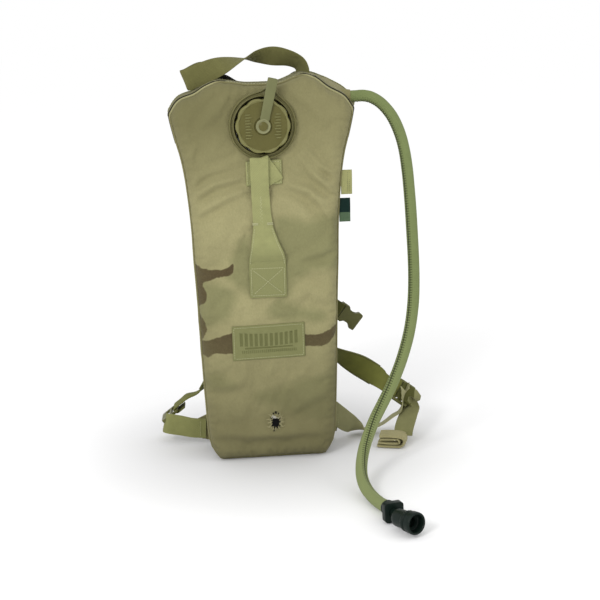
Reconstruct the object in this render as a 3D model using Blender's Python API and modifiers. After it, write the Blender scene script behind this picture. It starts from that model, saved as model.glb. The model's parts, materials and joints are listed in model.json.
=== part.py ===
"""Hydration pack: a slim insulated carrier for a water reservoir.

Metres, +Z up. The origin is the centre of the flat base, x is the pack's width, and the front panel
faces -Y. The pack stands upright with its harness behind it, and the drinking hose leaves the right
shoulder and lies on the ground in front.
"""

import math

import bmesh
import bpy
from mathutils import Matrix, Vector

# The pack's outline, seen from the front: half its width at each height up to the shoulder corner.
SIDE = ((0.018, 0.0770), (0.035, 0.0800), (0.075, 0.0820), (0.130, 0.0840), (0.200, 0.0860),
        (0.250, 0.0880), (0.300, 0.0895), (0.350, 0.0935), (0.380, 0.0980), (0.400, 0.1030),
        (0.420, 0.1075), (0.432, 0.1095))
BOTTOM = ((0.0, 0.0), (0.060, 0.0), (0.070, 0.006), (0.0770, 0.018))
TOP = ((0.0, 0.4640), (0.022, 0.4650), (0.040, 0.4710), (0.052, 0.4740), (0.066, 0.4690),
       (0.080, 0.4580), (0.099, 0.4470), (0.1095, 0.4320))
LEFT_SAG = 0.0060

# Depths, from the front seam to the back.
FRONT_SEAM_Y = -0.0330
BACK_SEAM_Y = 0.0265
FRONT_RISE = 0.012
FRONT_CROWN = 0.0035
BACK_RISE = 0.006
EDGE_ROLL = 0.014
CLOTH = 0.0012
FOAM = 0.0025
WELT_R = 0.0012
PANEL_INSET = 0.0045
GAP = 0.0003

# The fill port in the front panel.
PORT_Z = 0.4165
PORT_Y = FRONT_SEAM_Y - FRONT_RISE
PORT_HOLE_R = 0.0362
COLLAR_R = 0.0390
COLLAR_BORE_R = 0.0334
CAP_R = 0.0318
CAP_TOP = 0.013
NECK_R = 0.0280
NECK_BORE_R = 0.0250
TETHER_THICK = 0.0022

# The reservoir behind the port.
RESERVOIR_Y = -0.0045
RESERVOIR_HALF = 0.0225
RESERVOIR_INSET = 0.0240
RESERVOIR_HALF_WIDTH = 0.0640
FILM = 0.0008

# The insulation sheets and the padded back.
FOAM_INSET = 0.0165
BACK_PAD = 0.0030

# Webbing, straps and their plastic fittings.
WEBBING = 0.0016
STRAP = 0.0018
LOCK_HALF_WIDTH = 0.0170
LOCK_THICK = 0.0034
LOCK_LOOP = 0.0035
BUCKLE_THICK = 0.0086
SLIDER_THICK = 0.0042
BUNDLE_HALF = (0.0170, 0.0072)
BUNDLE_CENTRE = (0.1545, -0.0165, 0.0080)
BUNDLE_TURN = math.radians(18)

# The sternum strap: where each half starts on its slider, and the direction that the left one hangs in.
STERNUM_WIDTH = 0.020
STERNUM_GRIP = 0.0446
STERNUM_R_START = (0.0620, 0.0765, 0.1760)
STERNUM_L_START = (-0.0620, 0.0790, 0.1700)
STERNUM_L_HANG = Vector((-0.060, 0.0, -1.0))

# The line through the carry handle's two sewn ends, about which it swings.
HANDLE_AXIS = (Vector((-0.070, 0.008, 0.476)), Vector((0.054, 0.013, 0.480)))

# The drinking hose, from the shoulder to the valve, and the tube inside the pack.
HOSE_R = 0.0070
HOSE_STEP = 0.021
EXIT_HOLE_R = 0.0086
HOSE_ROUTE = (
    (0.1108, 0.0018, 0.4443), (0.1183, 0.0010, 0.4445), (0.1275, 0.0000, 0.4447), (0.1375, -0.0020, 0.4420),
    (0.1490, -0.0050, 0.4340), (0.1600, -0.0090, 0.4200), (0.1680, -0.0130, 0.4020), (0.1730, -0.0180, 0.3820),
    (0.1755, -0.0240, 0.3600), (0.1770, -0.0330, 0.3280), (0.1775, -0.0420, 0.2950), (0.1775, -0.0520, 0.2580),
    (0.1765, -0.0610, 0.2240), (0.1735, -0.0690, 0.1930), (0.1670, -0.0770, 0.1630), (0.1575, -0.0840, 0.1350),
    (0.1460, -0.0910, 0.1100), (0.1320, -0.0985, 0.0860), (0.1200, -0.1070, 0.0680), (0.1105, -0.1170, 0.0520),
    (0.1025, -0.1300, 0.0380), (0.0970, -0.1470, 0.0260), (0.0945, -0.1660, 0.0175), (0.0960, -0.1860, 0.0115),
    (0.1010, -0.2070, 0.0085), (0.1070, -0.2280, 0.0088), (0.1113, -0.2430, 0.0110),
)
GROMMET_OUT = 0.0075
GROMMET_IN = 0.0060
INNER_HOSE_R = 0.0046
INNER_ROUTE = (
    (0.0740, -0.0040, 0.0790), (0.0750, -0.0040, 0.1300), (0.0760, -0.0040, 0.2100), (0.0780, -0.0040, 0.3000),
    (0.0800, -0.0030, 0.3700), (0.0810, -0.0020, 0.4050), (0.0840, 0.0000, 0.4250), (0.0890, 0.0010, 0.4370),
)

# The valve on the hose's end: the tube socket, the shut-off collar and the outlet elbow.
VALVE_START = Vector((0.11137, -0.24329, 0.01102))
VALVE_BEND = Vector((0.1205, -0.2825, 0.0134))
OUTLET_MOUTH = Vector((0.1327, -0.3040, 0.0158))
STEM_R = 0.0050
SHUTOFF_HALF = 0.0110
OUTLET_BORE_R = 0.0096

MATERIALS = {
    "tan_cloth": ((0.42, 0.38, 0.22), 0.90),
    "webbing": ((0.40, 0.40, 0.20), 0.85),
    "strap_cloth": ((0.16, 0.17, 0.07), 0.90),
    "mesh_black": ((0.03, 0.03, 0.03), 0.95),
    "foam": ((0.05, 0.05, 0.05), 0.95),
    "film": ((0.70, 0.80, 0.85), 0.30),
    "cap_plastic": ((0.30, 0.27, 0.10), 0.45),
    "collar_plastic": ((0.26, 0.25, 0.13), 0.50),
    "rubber": ((0.24, 0.26, 0.16), 0.60),
    "gasket": ((0.60, 0.60, 0.58), 0.60),
    "hose_cover": ((0.32, 0.36, 0.17), 0.85),
    "hose_tube": ((0.75, 0.80, 0.80), 0.30),
    "valve_plastic": ((0.02, 0.05, 0.04), 0.40),
    "buckle_plastic": ((0.18, 0.18, 0.07), 0.45),
    "label_tan": ((0.45, 0.42, 0.22), 0.85),
    "label_dark": ((0.02, 0.04, 0.03), 0.80),
}


def clear_scene():
    for obj in list(bpy.data.objects):
        bpy.data.objects.remove(obj, do_unlink=True)


def new_collection(name, hidden=False):
    collection = bpy.data.collections.new(name)
    collection.hide_render = hidden
    bpy.context.scene.collection.children.link(collection)
    return collection


def new_material(name, colour, roughness):
    material = bpy.data.materials.new(name)
    material.use_nodes = True
    shader = material.node_tree.nodes["Principled BSDF"]
    shader.inputs["Base Color"].default_value = (*colour, 1.0)
    shader.inputs["Roughness"].default_value = roughness
    shader.inputs["Metallic"].default_value = 0.0
    return material


def place(name, data, finish, matrix=Matrix.Identity(4)):
    """Adds an object of the pack, with its material and its place."""
    obj = bpy.data.objects.new(name, data)
    if not data.materials:
        data.materials.append(FINISHES[finish])
    PACK.objects.link(obj)
    obj.matrix_world = matrix
    return obj


def place_cutter(name, mesh, matrix=Matrix.Identity(4)):
    obj = bpy.data.objects.new(name, mesh)
    CUTTERS.objects.link(obj)
    obj.hide_render = True
    obj.display_type = "WIRE"
    obj.matrix_world = matrix
    return obj


def boolean(obj, other, operation="DIFFERENCE"):
    modifier = obj.modifiers.new(operation.title(), "BOOLEAN")
    modifier.operation = operation
    modifier.object = other
    modifier.solver = "EXACT"
    return obj


def solidify(obj, thickness, offset):
    modifier = obj.modifiers.new("Thickness", "SOLIDIFY")
    modifier.thickness = thickness
    modifier.offset = offset
    modifier.use_even_offset = True
    return obj


def smooth(mesh, degrees=40):
    mesh.shade_smooth()
    mesh.set_sharp_from_angle(angle=math.radians(degrees))


def frame_matrix(origin, x_axis, z_axis):
    """A placement whose local Z is z_axis and whose local X is as near x_axis as it can be."""
    z = Vector(z_axis).normalized()
    x = Vector(x_axis)
    x = (x - z * x.dot(z)).normalized()
    y = z.cross(x)
    matrix = Matrix((x, y, z)).transposed().to_4x4()
    matrix.translation = Vector(origin)
    return matrix


def read_table(table, value):
    """Linear reading of a table of (key, value) rows."""
    if value <= table[0][0]:
        return table[0][1]
    for (low, first), (high, second) in zip(table, table[1:]):
        if value <= high:
            return first + (second - first) * (value - low) / (high - low)
    return table[-1][1]


def catmull(points, steps):
    """Points along a smooth curve through the given rows of numbers."""
    rows = [Vector(row) for row in points]
    rows = [rows[0] * 2 - rows[1]] + rows + [rows[-1] * 2 - rows[-2]]
    found = []
    for a, b, c, d in zip(rows, rows[1:], rows[2:], rows[3:]):
        for step in range(steps):
            t = step / steps
            found.append(0.5 * ((2 * b) + (c - a) * t + (2 * a - 5 * b + 4 * c - d) * t * t
                                + (3 * b - 3 * c + d - a) * t ** 3))
    return found + [rows[-2]]


def evenly(points, spacing):
    """Points a fixed distance apart along a smooth curve through the given ones."""
    fine = catmull(points, 24)
    length = sum((b - a).length for a, b in zip(fine, fine[1:]))
    count = max(2, round(length / spacing))
    found, gone, want = [fine[0]], 0.0, length / count
    for a, b in zip(fine, fine[1:]):
        gone += (b - a).length
        if gone >= want * len(found) and len(found) < count:
            found.append(b)
    return found + [fine[-1]]


# ---- the pack's own outline and surfaces ----

def top_edge(x):
    """The height of the top edge. The left peak sags under the carry handle's sewn end."""
    sag = LEFT_SAG * max(0.0, 1.0 - abs(x + 0.060) / 0.036)
    return read_table(TOP, min(abs(x), TOP[-1][0])) - sag


def outline_point(u, s, inset=0.0):
    """The (x, z) of a point on the pack's face: u runs -1 to 1 across, s runs 0 to 1 up the sides."""
    low, high = SIDE[0][0], SIDE[-1][0]
    half = read_table(SIDE, low + (high - low) * s)
    bottom = read_table(BOTTOM, abs(u) * SIDE[0][1]) + inset
    top = top_edge(u * SIDE[-1][1]) - inset
    x = u * (half - inset)
    z = bottom + (top - bottom) * s
    return x, z


def edge_factor(u, s, inset, roll):
    """0 at the edge of the face, rising on a quarter circle to 1 at a distance of roll from it."""
    x, z = outline_point(u, s, inset)
    low = outline_point(u, 0.0, inset)[1]
    high = outline_point(u, 1.0, inset)[1]
    side = abs(outline_point(1.0, s, inset)[0]) - abs(x)
    product = 1.0
    for distance in (side, z - low, high - z):
        near = min(max(distance / roll, 0.0), 1.0)
        product *= math.sqrt(1.0 - (1.0 - near) ** 2)
    return product


def crown(x, z):
    """How far the filled pack bulges forward of the port's plane, in the middle of its height."""
    up = min(max((z - 0.04) / 0.08, 0.0), 1.0) * min(max((0.365 - z) / 0.08, 0.0), 1.0)
    return FRONT_CROWN * up * max(0.0, 1.0 - (x / 0.088) ** 2)


def front_y(x, z):
    """The front panel's outer surface away from its rolled edge."""
    return PORT_Y - crown(x, z)


def spread(count, crowding=0.35):
    """count+1 values from 0 to 1, closer together at both ends."""
    return [t - crowding * math.sin(2 * math.pi * t) / (2 * math.pi) * 1.6
            for t in (i / count for i in range(count + 1))]


def mapped_grid(columns, rows, point):
    """A grid mesh whose (u, s) squares are laid on a surface: u from -1 to 1, s from 0 to 1."""
    mesh = bpy.data.meshes.new("grid")
    form = bmesh.new()
    bmesh.ops.create_grid(form, x_segments=columns, y_segments=rows, size=0.5)
    across = spread(columns)
    up = spread(rows)
    for vertex in form.verts:
        column = round((vertex.co.x + 0.5) * columns)
        row = round((vertex.co.y + 0.5) * rows)
        vertex.co = point(across[column] * 2 - 1, up[row])
    form.to_mesh(mesh)
    form.free()
    smooth(mesh)
    return mesh


def face_towards(mesh, direction):
    """Turns an open surface's faces to look along a direction."""
    if sum((face.normal.dot(direction) * face.area for face in mesh.polygons)) < 0:
        mesh.flip_normals()
    return mesh


def cylinder_mesh(name, radius, low, high, segments=48):
    mesh = bpy.data.meshes.new(name)
    form = bmesh.new()
    bmesh.ops.create_cone(form, cap_ends=True, segments=segments, radius1=radius, radius2=radius,
                          depth=high - low, matrix=Matrix.Translation((0, 0, (low + high) / 2)))
    form.to_mesh(mesh)
    form.free()
    return mesh


def box_mesh(name, size, centre=(0, 0, 0)):
    mesh = bpy.data.meshes.new(name)
    form = bmesh.new()
    bmesh.ops.create_cube(form, size=1.0)
    bmesh.ops.scale(form, vec=size, verts=form.verts)
    bmesh.ops.translate(form, vec=centre, verts=form.verts)
    form.to_mesh(mesh)
    form.free()
    return mesh


def turned(name, profile, finish, matrix, closed=False, steps=36):
    """A turned piece: rows of (radius, height), running down its outer side."""
    mesh = bpy.data.meshes.new(name)
    form = bmesh.new()
    rows = [form.verts.new((radius, 0.0, height)) for radius, height in profile]
    for a, b in zip(rows, rows[1:]):
        form.edges.new((a, b))
    if closed:
        form.edges.new((rows[-1], rows[0]))
    form.to_mesh(mesh)
    form.free()
    obj = place(name, mesh, finish, matrix)
    screw = obj.modifiers.new("Turn", "SCREW")
    screw.steps = steps
    screw.render_steps = steps
    screw.use_merge_vertices = True
    screw.merge_threshold = 0.00001
    screw.use_smooth_shade = True
    return obj


def tube(name, points, radius, finish, resolution=2):
    curve = bpy.data.curves.new(name, "CURVE")
    curve.dimensions = "3D"
    curve.bevel_depth = radius
    curve.bevel_resolution = resolution
    curve.use_fill_caps = True
    spline = curve.splines.new("POLY")
    spline.points.add(len(points) - 1)
    for knot, point in zip(spline.points, points):
        knot.co = (*point, 1.0)
    return place(name, curve, finish)


def ring_tube(name, points, radius, finish):
    obj = tube(name, points, radius, finish, resolution=1)
    obj.data.splines[0].use_cyclic_u = True
    return obj


def flat_plate(name, outlines, thickness, finish, matrix, bevel=0.0):
    """A plate in its local XY plane: the first outline is its edge, the others are holes."""
    curve = bpy.data.curves.new(name, "CURVE")
    curve.dimensions = "2D"
    curve.fill_mode = "BOTH"
    curve.extrude = thickness / 2 - bevel
    curve.bevel_depth = bevel
    curve.bevel_resolution = 0
    curve.offset = -bevel
    for outline in outlines:
        spline = curve.splines.new("POLY")
        spline.points.add(len(outline) - 1)
        for knot, (x, y) in zip(spline.points, outline):
            knot.co = (x, y, 0.0, 1.0)
        spline.use_cyclic_u = True
    return place(name, curve, finish, matrix)


def as_mesh(obj):
    """The same piece with its evaluated shape as a mesh, so that it can be cut or joined."""
    bpy.context.view_layer.update()
    mesh = bpy.data.meshes.new_from_object(obj.evaluated_get(bpy.context.evaluated_depsgraph_get()))
    form = bmesh.new()
    form.from_mesh(mesh)
    bmesh.ops.remove_doubles(form, verts=form.verts, dist=0.000001)
    form.to_mesh(mesh)
    form.free()
    name, matrix = obj.name, obj.matrix_world.copy()
    bpy.data.objects.remove(obj, do_unlink=True)
    new = bpy.data.objects.new(name, mesh)
    PACK.objects.link(new)
    new.matrix_world = matrix
    return new


def rounded_box(half_x, half_y, radius, centre=(0.0, 0.0), steps=3):
    """The outline of a rectangle with round corners."""
    points = []
    for corner, (sx, sy) in enumerate(((1, 1), (-1, 1), (-1, -1), (1, -1))):
        for step in range(steps + 1):
            angle = math.pi / 2 * (corner + step / steps)
            points.append((centre[0] + sx * (half_x - radius) + radius * math.cos(angle),
                           centre[1] + sy * (half_y - radius) + radius * math.sin(angle)))
    return points


def ribbon(name, stations, thickness, finish, steps=3):
    """A strap: a strip through rows of (centre, direction across, width), thickened evenly."""
    rows = [(*centre, *across, width) for centre, across, width in stations]
    fine = catmull_rows(rows, steps)
    mesh = bpy.data.meshes.new(name)
    form = bmesh.new()
    pairs = []
    for index, row in enumerate(fine):
        before = Vector(fine[max(index - 1, 0)][:3])
        after = Vector(fine[min(index + 1, len(fine) - 1)][:3])
        travel = (after - before).normalized()
        centre, across, width = Vector(row[:3]), Vector(row[3:6]), row[6]
        across = (across - travel * across.dot(travel)).normalized()
        half = across * width / 2
        pairs.append((form.verts.new(centre - half), form.verts.new(centre + half)))
    for (a, b), (c, d) in zip(pairs, pairs[1:]):
        form.faces.new((a, b, d, c))
    form.to_mesh(mesh)
    form.free()
    smooth(mesh, 50)
    return solidify(place(name, mesh, finish), thickness, 0.0)


def catmull_rows(rows, steps):
    """catmull for rows longer than a vector can be."""
    rows = [list(row) for row in rows]
    first = [2 * a - b for a, b in zip(rows[0], rows[1])]
    last = [2 * a - b for a, b in zip(rows[-1], rows[-2])]
    rows = [first] + rows + [last]
    found = []
    for four in zip(rows, rows[1:], rows[2:], rows[3:]):
        for step in range(steps):
            t = step / steps
            found.append([0.5 * (2 * b + (c - a) * t + (2 * a - 5 * b + 4 * c - d) * t * t
                                 + (3 * b - 3 * c + d - a) * t ** 3) for a, b, c, d in zip(*four)])
    return found + [rows[-2]]


# ---- the carrier's shell ----

def front_surface(inset, shift):
    """The front face as a function of (u, s), moved back by shift, its edge at the seam."""
    def point(u, s):
        x, z = outline_point(u, s, inset)
        rise = edge_factor(u, s, inset, EDGE_ROLL)
        return Vector((x, FRONT_SEAM_Y + shift - (FRONT_RISE + crown(x, z)) * rise, z))
    return point


def inner_front_surface(inset, shift):
    """The front face truncated at an inset and moved back, so that it lies behind the panel."""
    def point(u, s):
        x, z = outline_point(u, s, inset)
        depth = (FRONT_RISE + crown(x, z)) * edge_factor_at(x, z)
        return Vector((x, FRONT_SEAM_Y + shift - depth, z))
    return point


def edge_factor_at(x, z):
    """edge_factor for a place given as (x, z)."""
    low, high = SIDE[0][0], SIDE[-1][0]
    bottom = read_table(BOTTOM, min(abs(x), BOTTOM[-1][0])) + PANEL_INSET
    top = top_edge(x) - PANEL_INSET
    half = read_table(SIDE, min(max(z, low), high)) - PANEL_INSET
    product = 1.0
    for distance in (half - abs(x), z - bottom, top - z):
        near = min(max(distance / EDGE_ROLL, 0.0), 1.0)
        product *= math.sqrt(1.0 - (1.0 - near) ** 2)
    return product


def port_matrix():
    """Local +Z points out of the port, and local Y up."""
    return frame_matrix((0.0, PORT_Y, PORT_Z), (1, 0, 0), (0, -1, 0))


def add_front_panel():
    mesh = face_towards(mapped_grid(16, 26, front_surface(PANEL_INSET, 0.0)), Vector((0, -1, 0)))
    panel = solidify(place("front_panel", mesh, "tan_cloth"), CLOTH, -1.0)
    hole = place_cutter("port_hole", cylinder_mesh("port_hole", PORT_HOLE_R, -0.03, 0.02), port_matrix())
    boolean(panel, hole)
    boolean(panel, tear_cutter())


def tear_cutter():
    """A ragged prism for the torn hole low on the front panel."""
    reach = (0.0075, 0.0050, 0.0082, 0.0056, 0.0115, 0.0070, 0.0100, 0.0058, 0.0072, 0.0050, 0.0125, 0.0066)
    mesh = bpy.data.meshes.new("tear")
    form = bmesh.new()
    ring = []
    for index, radius in enumerate(reach):
        angle = 2 * math.pi * index / len(reach)
        ring.append(form.verts.new((radius * 0.62 * math.cos(angle), -0.056, radius * 1.05 * math.sin(angle))))
    face = form.faces.new(ring)
    swept = bmesh.ops.extrude_face_region(form, geom=[face])
    bmesh.ops.translate(form, vec=(0, 0.0125, 0),
                        verts=[item for item in swept["geom"] if isinstance(item, bmesh.types.BMVert)])
    bmesh.ops.recalc_face_normals(form, faces=form.faces)
    form.to_mesh(mesh)
    form.free()
    return place_cutter("tear", mesh, Matrix.Translation((0.004, 0, 0.050)))


def outline_loop(inset, count=9):
    """The pack's outline as a closed list of (x, z)."""
    across = [t * 2 - 1 for t in spread(2 * count)]
    up = spread(count)
    loop = [outline_point(u, 0.0, inset) for u in across]
    loop += [outline_point(1.0, s, inset) for s in up[1:]]
    loop += [outline_point(u, 1.0, inset) for u in reversed(across[:-1])]
    loop += [outline_point(-1.0, s, inset) for s in reversed(up[1:-1])]
    return loop


def add_gusset():
    mesh = bpy.data.meshes.new("gusset")
    form = bmesh.new()
    loop = outline_loop(0.0, 12)
    front = [form.verts.new((x, FRONT_SEAM_Y + GAP, z)) for x, z in loop]
    back = [form.verts.new((x, BACK_SEAM_Y, z)) for x, z in loop]
    for index in range(len(loop)):
        after = (index + 1) % len(loop)
        form.faces.new((front[index], front[after], back[after], back[index]))
    bmesh.ops.recalc_face_normals(form, faces=form.faces)
    form.to_mesh(mesh)
    form.free()
    low = min(mesh.polygons, key=lambda face: face.center.z)
    if low.normal.z > 0:
        mesh.flip_normals()
    smooth(mesh)
    gusset = solidify(place("gusset", mesh, "tan_cloth"), CLOTH, -1.0)
    hole = place_cutter("exit_hole", cylinder_mesh("exit_hole", EXIT_HOLE_R, -0.030, 0.030), exit_matrix())
    boolean(gusset, hole)


def add_welts():
    for name, y in (("front_welt", FRONT_SEAM_Y - WELT_R - GAP / 2),
                    ("back_welt", BACK_SEAM_Y + WELT_R + GAP)):
        points = [(x, y, z) for x, z in outline_loop(WELT_R + 0.00005, 9)]
        ring_tube(name, points, WELT_R, "tan_cloth")


def back_surface(inset, shift):
    def point(u, s):
        x, z = outline_point(u, s, inset)
        return Vector((x, BACK_SEAM_Y + shift + BACK_RISE * edge_factor(u, s, inset, 0.010), z))
    return point


def add_back_panel():
    mesh = face_towards(mapped_grid(12, 18, back_surface(PANEL_INSET, 0.0008)), Vector((0, 1, 0)))
    solidify(place("back_panel", mesh, "mesh_black"), BACK_PAD, -1.0)


def add_insulation():
    mesh = face_towards(mapped_grid(10, 14, inner_front_surface(FOAM_INSET, 0.0023)), Vector((0, -1, 0)))
    sheet = solidify(place("front_insulation", mesh, "foam"), FOAM, -1.0)
    hole = place_cutter("foam_hole", cylinder_mesh("foam_hole", PORT_HOLE_R, -0.03, 0.02), port_matrix())
    boolean(sheet, hole)

    def back_point(u, s):
        x, z = outline_point(u, s, FOAM_INSET)
        return Vector((x, BACK_SEAM_Y - 0.0010, z))
    mesh = face_towards(mapped_grid(8, 10, back_point), Vector((0, 1, 0)))
    solidify(place("back_insulation", mesh, "foam"), FOAM, -1.0)


# ---- the reservoir and its fill port ----

def add_reservoir():
    """A film pillow with one opening, under the fill neck."""
    def side(sign):
        def point(u, s):
            x, z = outline_point(u, s, RESERVOIR_INSET)
            half = outline_point(1.0, s, RESERVOIR_INSET)[0]
            x *= min(half, RESERVOIR_HALF_WIDTH) / half
            rise = edge_factor(u, s, RESERVOIR_INSET, 0.030)
            return Vector((x, RESERVOIR_Y + sign * (RESERVOIR_HALF * rise), z))
        return point

    form = bmesh.new()
    for sign in (-1, 1):
        mesh = face_towards(mapped_grid(10, 16, side(sign)), Vector((0, sign, 0)))
        form.from_mesh(mesh)
        bpy.data.meshes.remove(mesh)
    bmesh.ops.remove_doubles(form, verts=form.verts, dist=0.00002)
    bmesh.ops.recalc_face_normals(form, faces=form.faces)
    mesh = bpy.data.meshes.new("reservoir")
    form.to_mesh(mesh)
    form.free()
    smooth(mesh)
    film = place("reservoir", mesh, "film")
    thick = film.modifiers.new("Thickness", "SOLIDIFY")
    thick.thickness = FILM
    thick.offset = -1.0
    thick.use_even_offset = False
    hole = place_cutter("film_hole", cylinder_mesh("film_hole", NECK_BORE_R, -0.030, 0.010), port_matrix())
    boolean(film, hole)


def add_port():
    matrix = port_matrix()
    film = -(RESERVOIR_Y - RESERVOIR_HALF - PORT_Y)
    turned("fill_neck", ((NECK_BORE_R, 0.0060), (NECK_R, 0.0060), (NECK_R, film + 0.0021),
                         (0.0320, film + 0.0021), (0.0320, film + 0.0006), (NECK_BORE_R, film + 0.0006)),
           "collar_plastic", matrix, True)
    turned("cap_gasket", ((NECK_BORE_R + 0.0003, 0.0073), (NECK_R - 0.0003, 0.0073), (NECK_R - 0.0003, 0.0063),
                          (NECK_BORE_R + 0.0003, 0.0063)), "gasket", matrix, True)
    ring = turned("collar_ring", (
        (COLLAR_BORE_R, 0.0040), (0.0344, 0.0056), (0.0354, 0.0056), (0.0362, 0.0044), (0.0370, 0.0052),
        (0.0380, 0.0052), (COLLAR_R, 0.0036), (COLLAR_R, GAP), (0.0356, GAP), (0.0356, -0.0090),
        (COLLAR_BORE_R, -0.0090)), "collar_plastic", matrix, True, 48)
    tab = flat_plate("collar_tab", [((-0.0060, 0.0345), (0.0180, 0.0325), (0.0165, 0.0400), (0.0150, 0.0450),
                                     (0.0060, 0.0455), (0.0000, 0.0410))], 0.0030, "collar_plastic",
                     matrix @ Matrix.Translation((0, 0, 0.0026)))
    tab = as_mesh(tab)
    PACK.objects.unlink(tab)
    CUTTERS.objects.link(tab)
    tab.hide_render = True
    tab.display_type = "WIRE"
    boolean(ring, tab, "UNION")
    add_cap(matrix)
    add_tether(matrix)


def add_cap(matrix):
    """A ten-sided cap with a skirt that reaches down over the neck."""
    mesh = bpy.data.meshes.new("cap")
    form = bmesh.new()
    bmesh.ops.create_cone(form, cap_ends=True, segments=10, radius1=CAP_R, radius2=CAP_R - 0.0012,
                          depth=CAP_TOP + 0.002, matrix=Matrix.Translation((0, 0, (CAP_TOP - 0.002) / 2)))
    form.to_mesh(mesh)
    form.free()
    cap = place("cap", mesh, "cap_plastic", matrix)
    bevel = cap.modifiers.new("Edges", "BEVEL")
    bevel.width = 0.0014
    bevel.segments = 2
    bevel.limit_method = "ANGLE"
    bevel.angle_limit = math.radians(30)
    cavity = cylinder_mesh("cap_cavity", NECK_R + 0.0006, -0.010, 0.0076, 40)
    boolean(cap, place_cutter("cap_cavity", cavity, matrix))
    dimple = cylinder_mesh("cap_dimple", 0.0100, CAP_TOP - 0.0008, 0.03, 32)
    boolean(cap, place_cutter("cap_dimple", dimple, matrix))
    turned("tether_button", ((0.0, 0.0182), (0.0042, 0.0179), (0.0055, 0.0170), (0.0055, 0.0159),
                             (0.0030, 0.0159), (0.0030, 0.0125), (0.0, 0.0125)), "cap_plastic", matrix, steps=20)


def add_tether(matrix):
    """The eye round the button, and the strap that folds over and comes back to the collar's tab."""
    eye = flat_plate("cap_tether", [rounded_box(0.0085, 0.0085, 0.0084), rounded_box(0.0035, 0.0035, 0.00345)],
                     TETHER_THICK, "rubber", matrix @ Matrix.Translation((0, 0, 0.0145)))
    eye = as_mesh(eye)
    lean = Vector((0.235, 0.972))
    across = Vector((lean.y, -lean.x, 0.0))
    rows = []
    for reach, height in ((0.0075, 0.0145), (0.0150, 0.0147), (0.0300, 0.0150), (0.0450, 0.0142),
                          (0.0530, 0.0130), (0.0556, 0.0112), (0.0540, 0.0092), (0.0510, 0.0078),
                          (0.0475, 0.0066)):
        width = 0.0075 if reach == 0.0075 else 0.0105
        rows.append(((lean.x * reach, lean.y * reach, height), tuple(across), width))
    strap = ribbon("tether_strap", rows, TETHER_THICK, "rubber")
    strap.matrix_world = matrix
    strap = as_mesh(strap)
    PACK.objects.unlink(strap)
    CUTTERS.objects.link(strap)
    strap.hide_render = True
    strap.display_type = "WIRE"
    boolean(eye, strap, "UNION")


# ---- what is sewn to the front ----

def laid_patch(name, low, high, lift, thickness, finish, columns=6, rows=3):
    """A flat piece that lies on the front panel between two corners given as (x, z)."""
    def point(u, s):
        x = (low[0] + high[0]) / 2 + u * (high[0] - low[0]) / 2
        z = low[1] + s * (high[1] - low[1])
        return Vector((x, front_y(x, z) - lift, z))
    mesh = face_towards(mapped_grid(columns, rows, point), Vector((0, -1, 0)))
    return solidify(place(name, mesh, finish), thickness, 1.0)


def add_front_pieces():
    laid_patch("patch", (-0.0455, 0.1328), (0.0425, 0.1762), GAP * 2, 0.0014, "webbing")
    laid_patch("port_strap_anchor", (-0.0205, 0.3470), (0.0205, 0.3755), GAP * 2, 0.0014, "webbing", 2, 2)
    rows = []
    for x, z, off, width in (
        (-0.0040, 0.3540, 0.0030, 0.0210), (-0.0052, 0.3670, 0.0032, 0.0210),
        (-0.0062, 0.3735, 0.0040, 0.0208), (-0.0066, 0.3760, 0.0054, 0.0205),
        (-0.0070, 0.3735, 0.0070, 0.0205), (-0.0068, 0.3640, 0.0072, 0.0205),
        (-0.0062, 0.3450, 0.0062, 0.0208), (-0.0052, 0.3200, 0.0046, 0.0216),
        (-0.0044, 0.3000, 0.0030, 0.0230), (-0.0034, 0.2880, 0.0028, 0.0270),
        (-0.0020, 0.2720, 0.0052, 0.0350), (-0.0008, 0.2580, 0.0034, 0.0425),
        (0.0000, 0.2500, 0.0022, 0.0445), (0.0000, 0.2300, 0.0018, 0.0445),
        (0.0000, 0.2100, 0.0018, 0.0445),
    ):
        rows.append(((x, front_y(0.0, z) - off, z), (1, 0, 0), width))
    ribbon("port_strap", rows, WEBBING, "webbing", 2)


def add_side_labels():
    for name, low, high, finish in (("side_label_tan", 0.3265, 0.3560, "label_tan"),
                                    ("side_label_dark", 0.2930, 0.3220, "label_dark")):
        start = read_table(SIDE, (low + high) / 2) + 0.0020
        centre = (start + 0.0060, FRONT_SEAM_Y + 0.0005, (low + high) / 2)
        place(name, box_mesh(name, (0.0120, 0.0008, high - low), centre), finish)


# ---- the carry handle ----

def add_handle():
    rows = (
        ((-0.0700, 0.0150, 0.4800), (0.00, 0.05, -1.0), 0.0240),
        ((-0.0840, 0.0170, 0.4755), (0.25, 0.05, -1.0), 0.0250),
        ((-0.0895, 0.0120, 0.4735), (0.36, 0.00, -0.93), 0.0250),
        ((-0.0850, 0.0070, 0.4745), (0.30, 0.00, -0.95), 0.0250),
        ((-0.0680, 0.0050, 0.4795), (0.12, -0.15, -1.0), 0.0260),
        ((-0.0480, 0.0080, 0.4865), (0.10, -0.60, -0.80), 0.0260),
        ((-0.0230, 0.0100, 0.4925), (0.10, -1.00, -0.10), 0.0260),
        ((-0.0010, 0.0110, 0.4950), (0.00, -0.80, 0.55), 0.0260),
        ((0.0190, 0.0110, 0.4950), (0.00, -0.50, 0.86), 0.0260),
        ((0.0370, 0.0110, 0.4920), (0.25, -0.65, 0.65), 0.0260),
        ((0.0490, 0.0110, 0.4865), (0.50, -0.80, 0.40), 0.0260),
        ((0.0540, 0.0110, 0.4790), (0.55, -0.85, 0.05), 0.0260),
    )
    ribbon("carry_handle", rows, WEBBING, "webbing")


# ---- the harness ----

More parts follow.
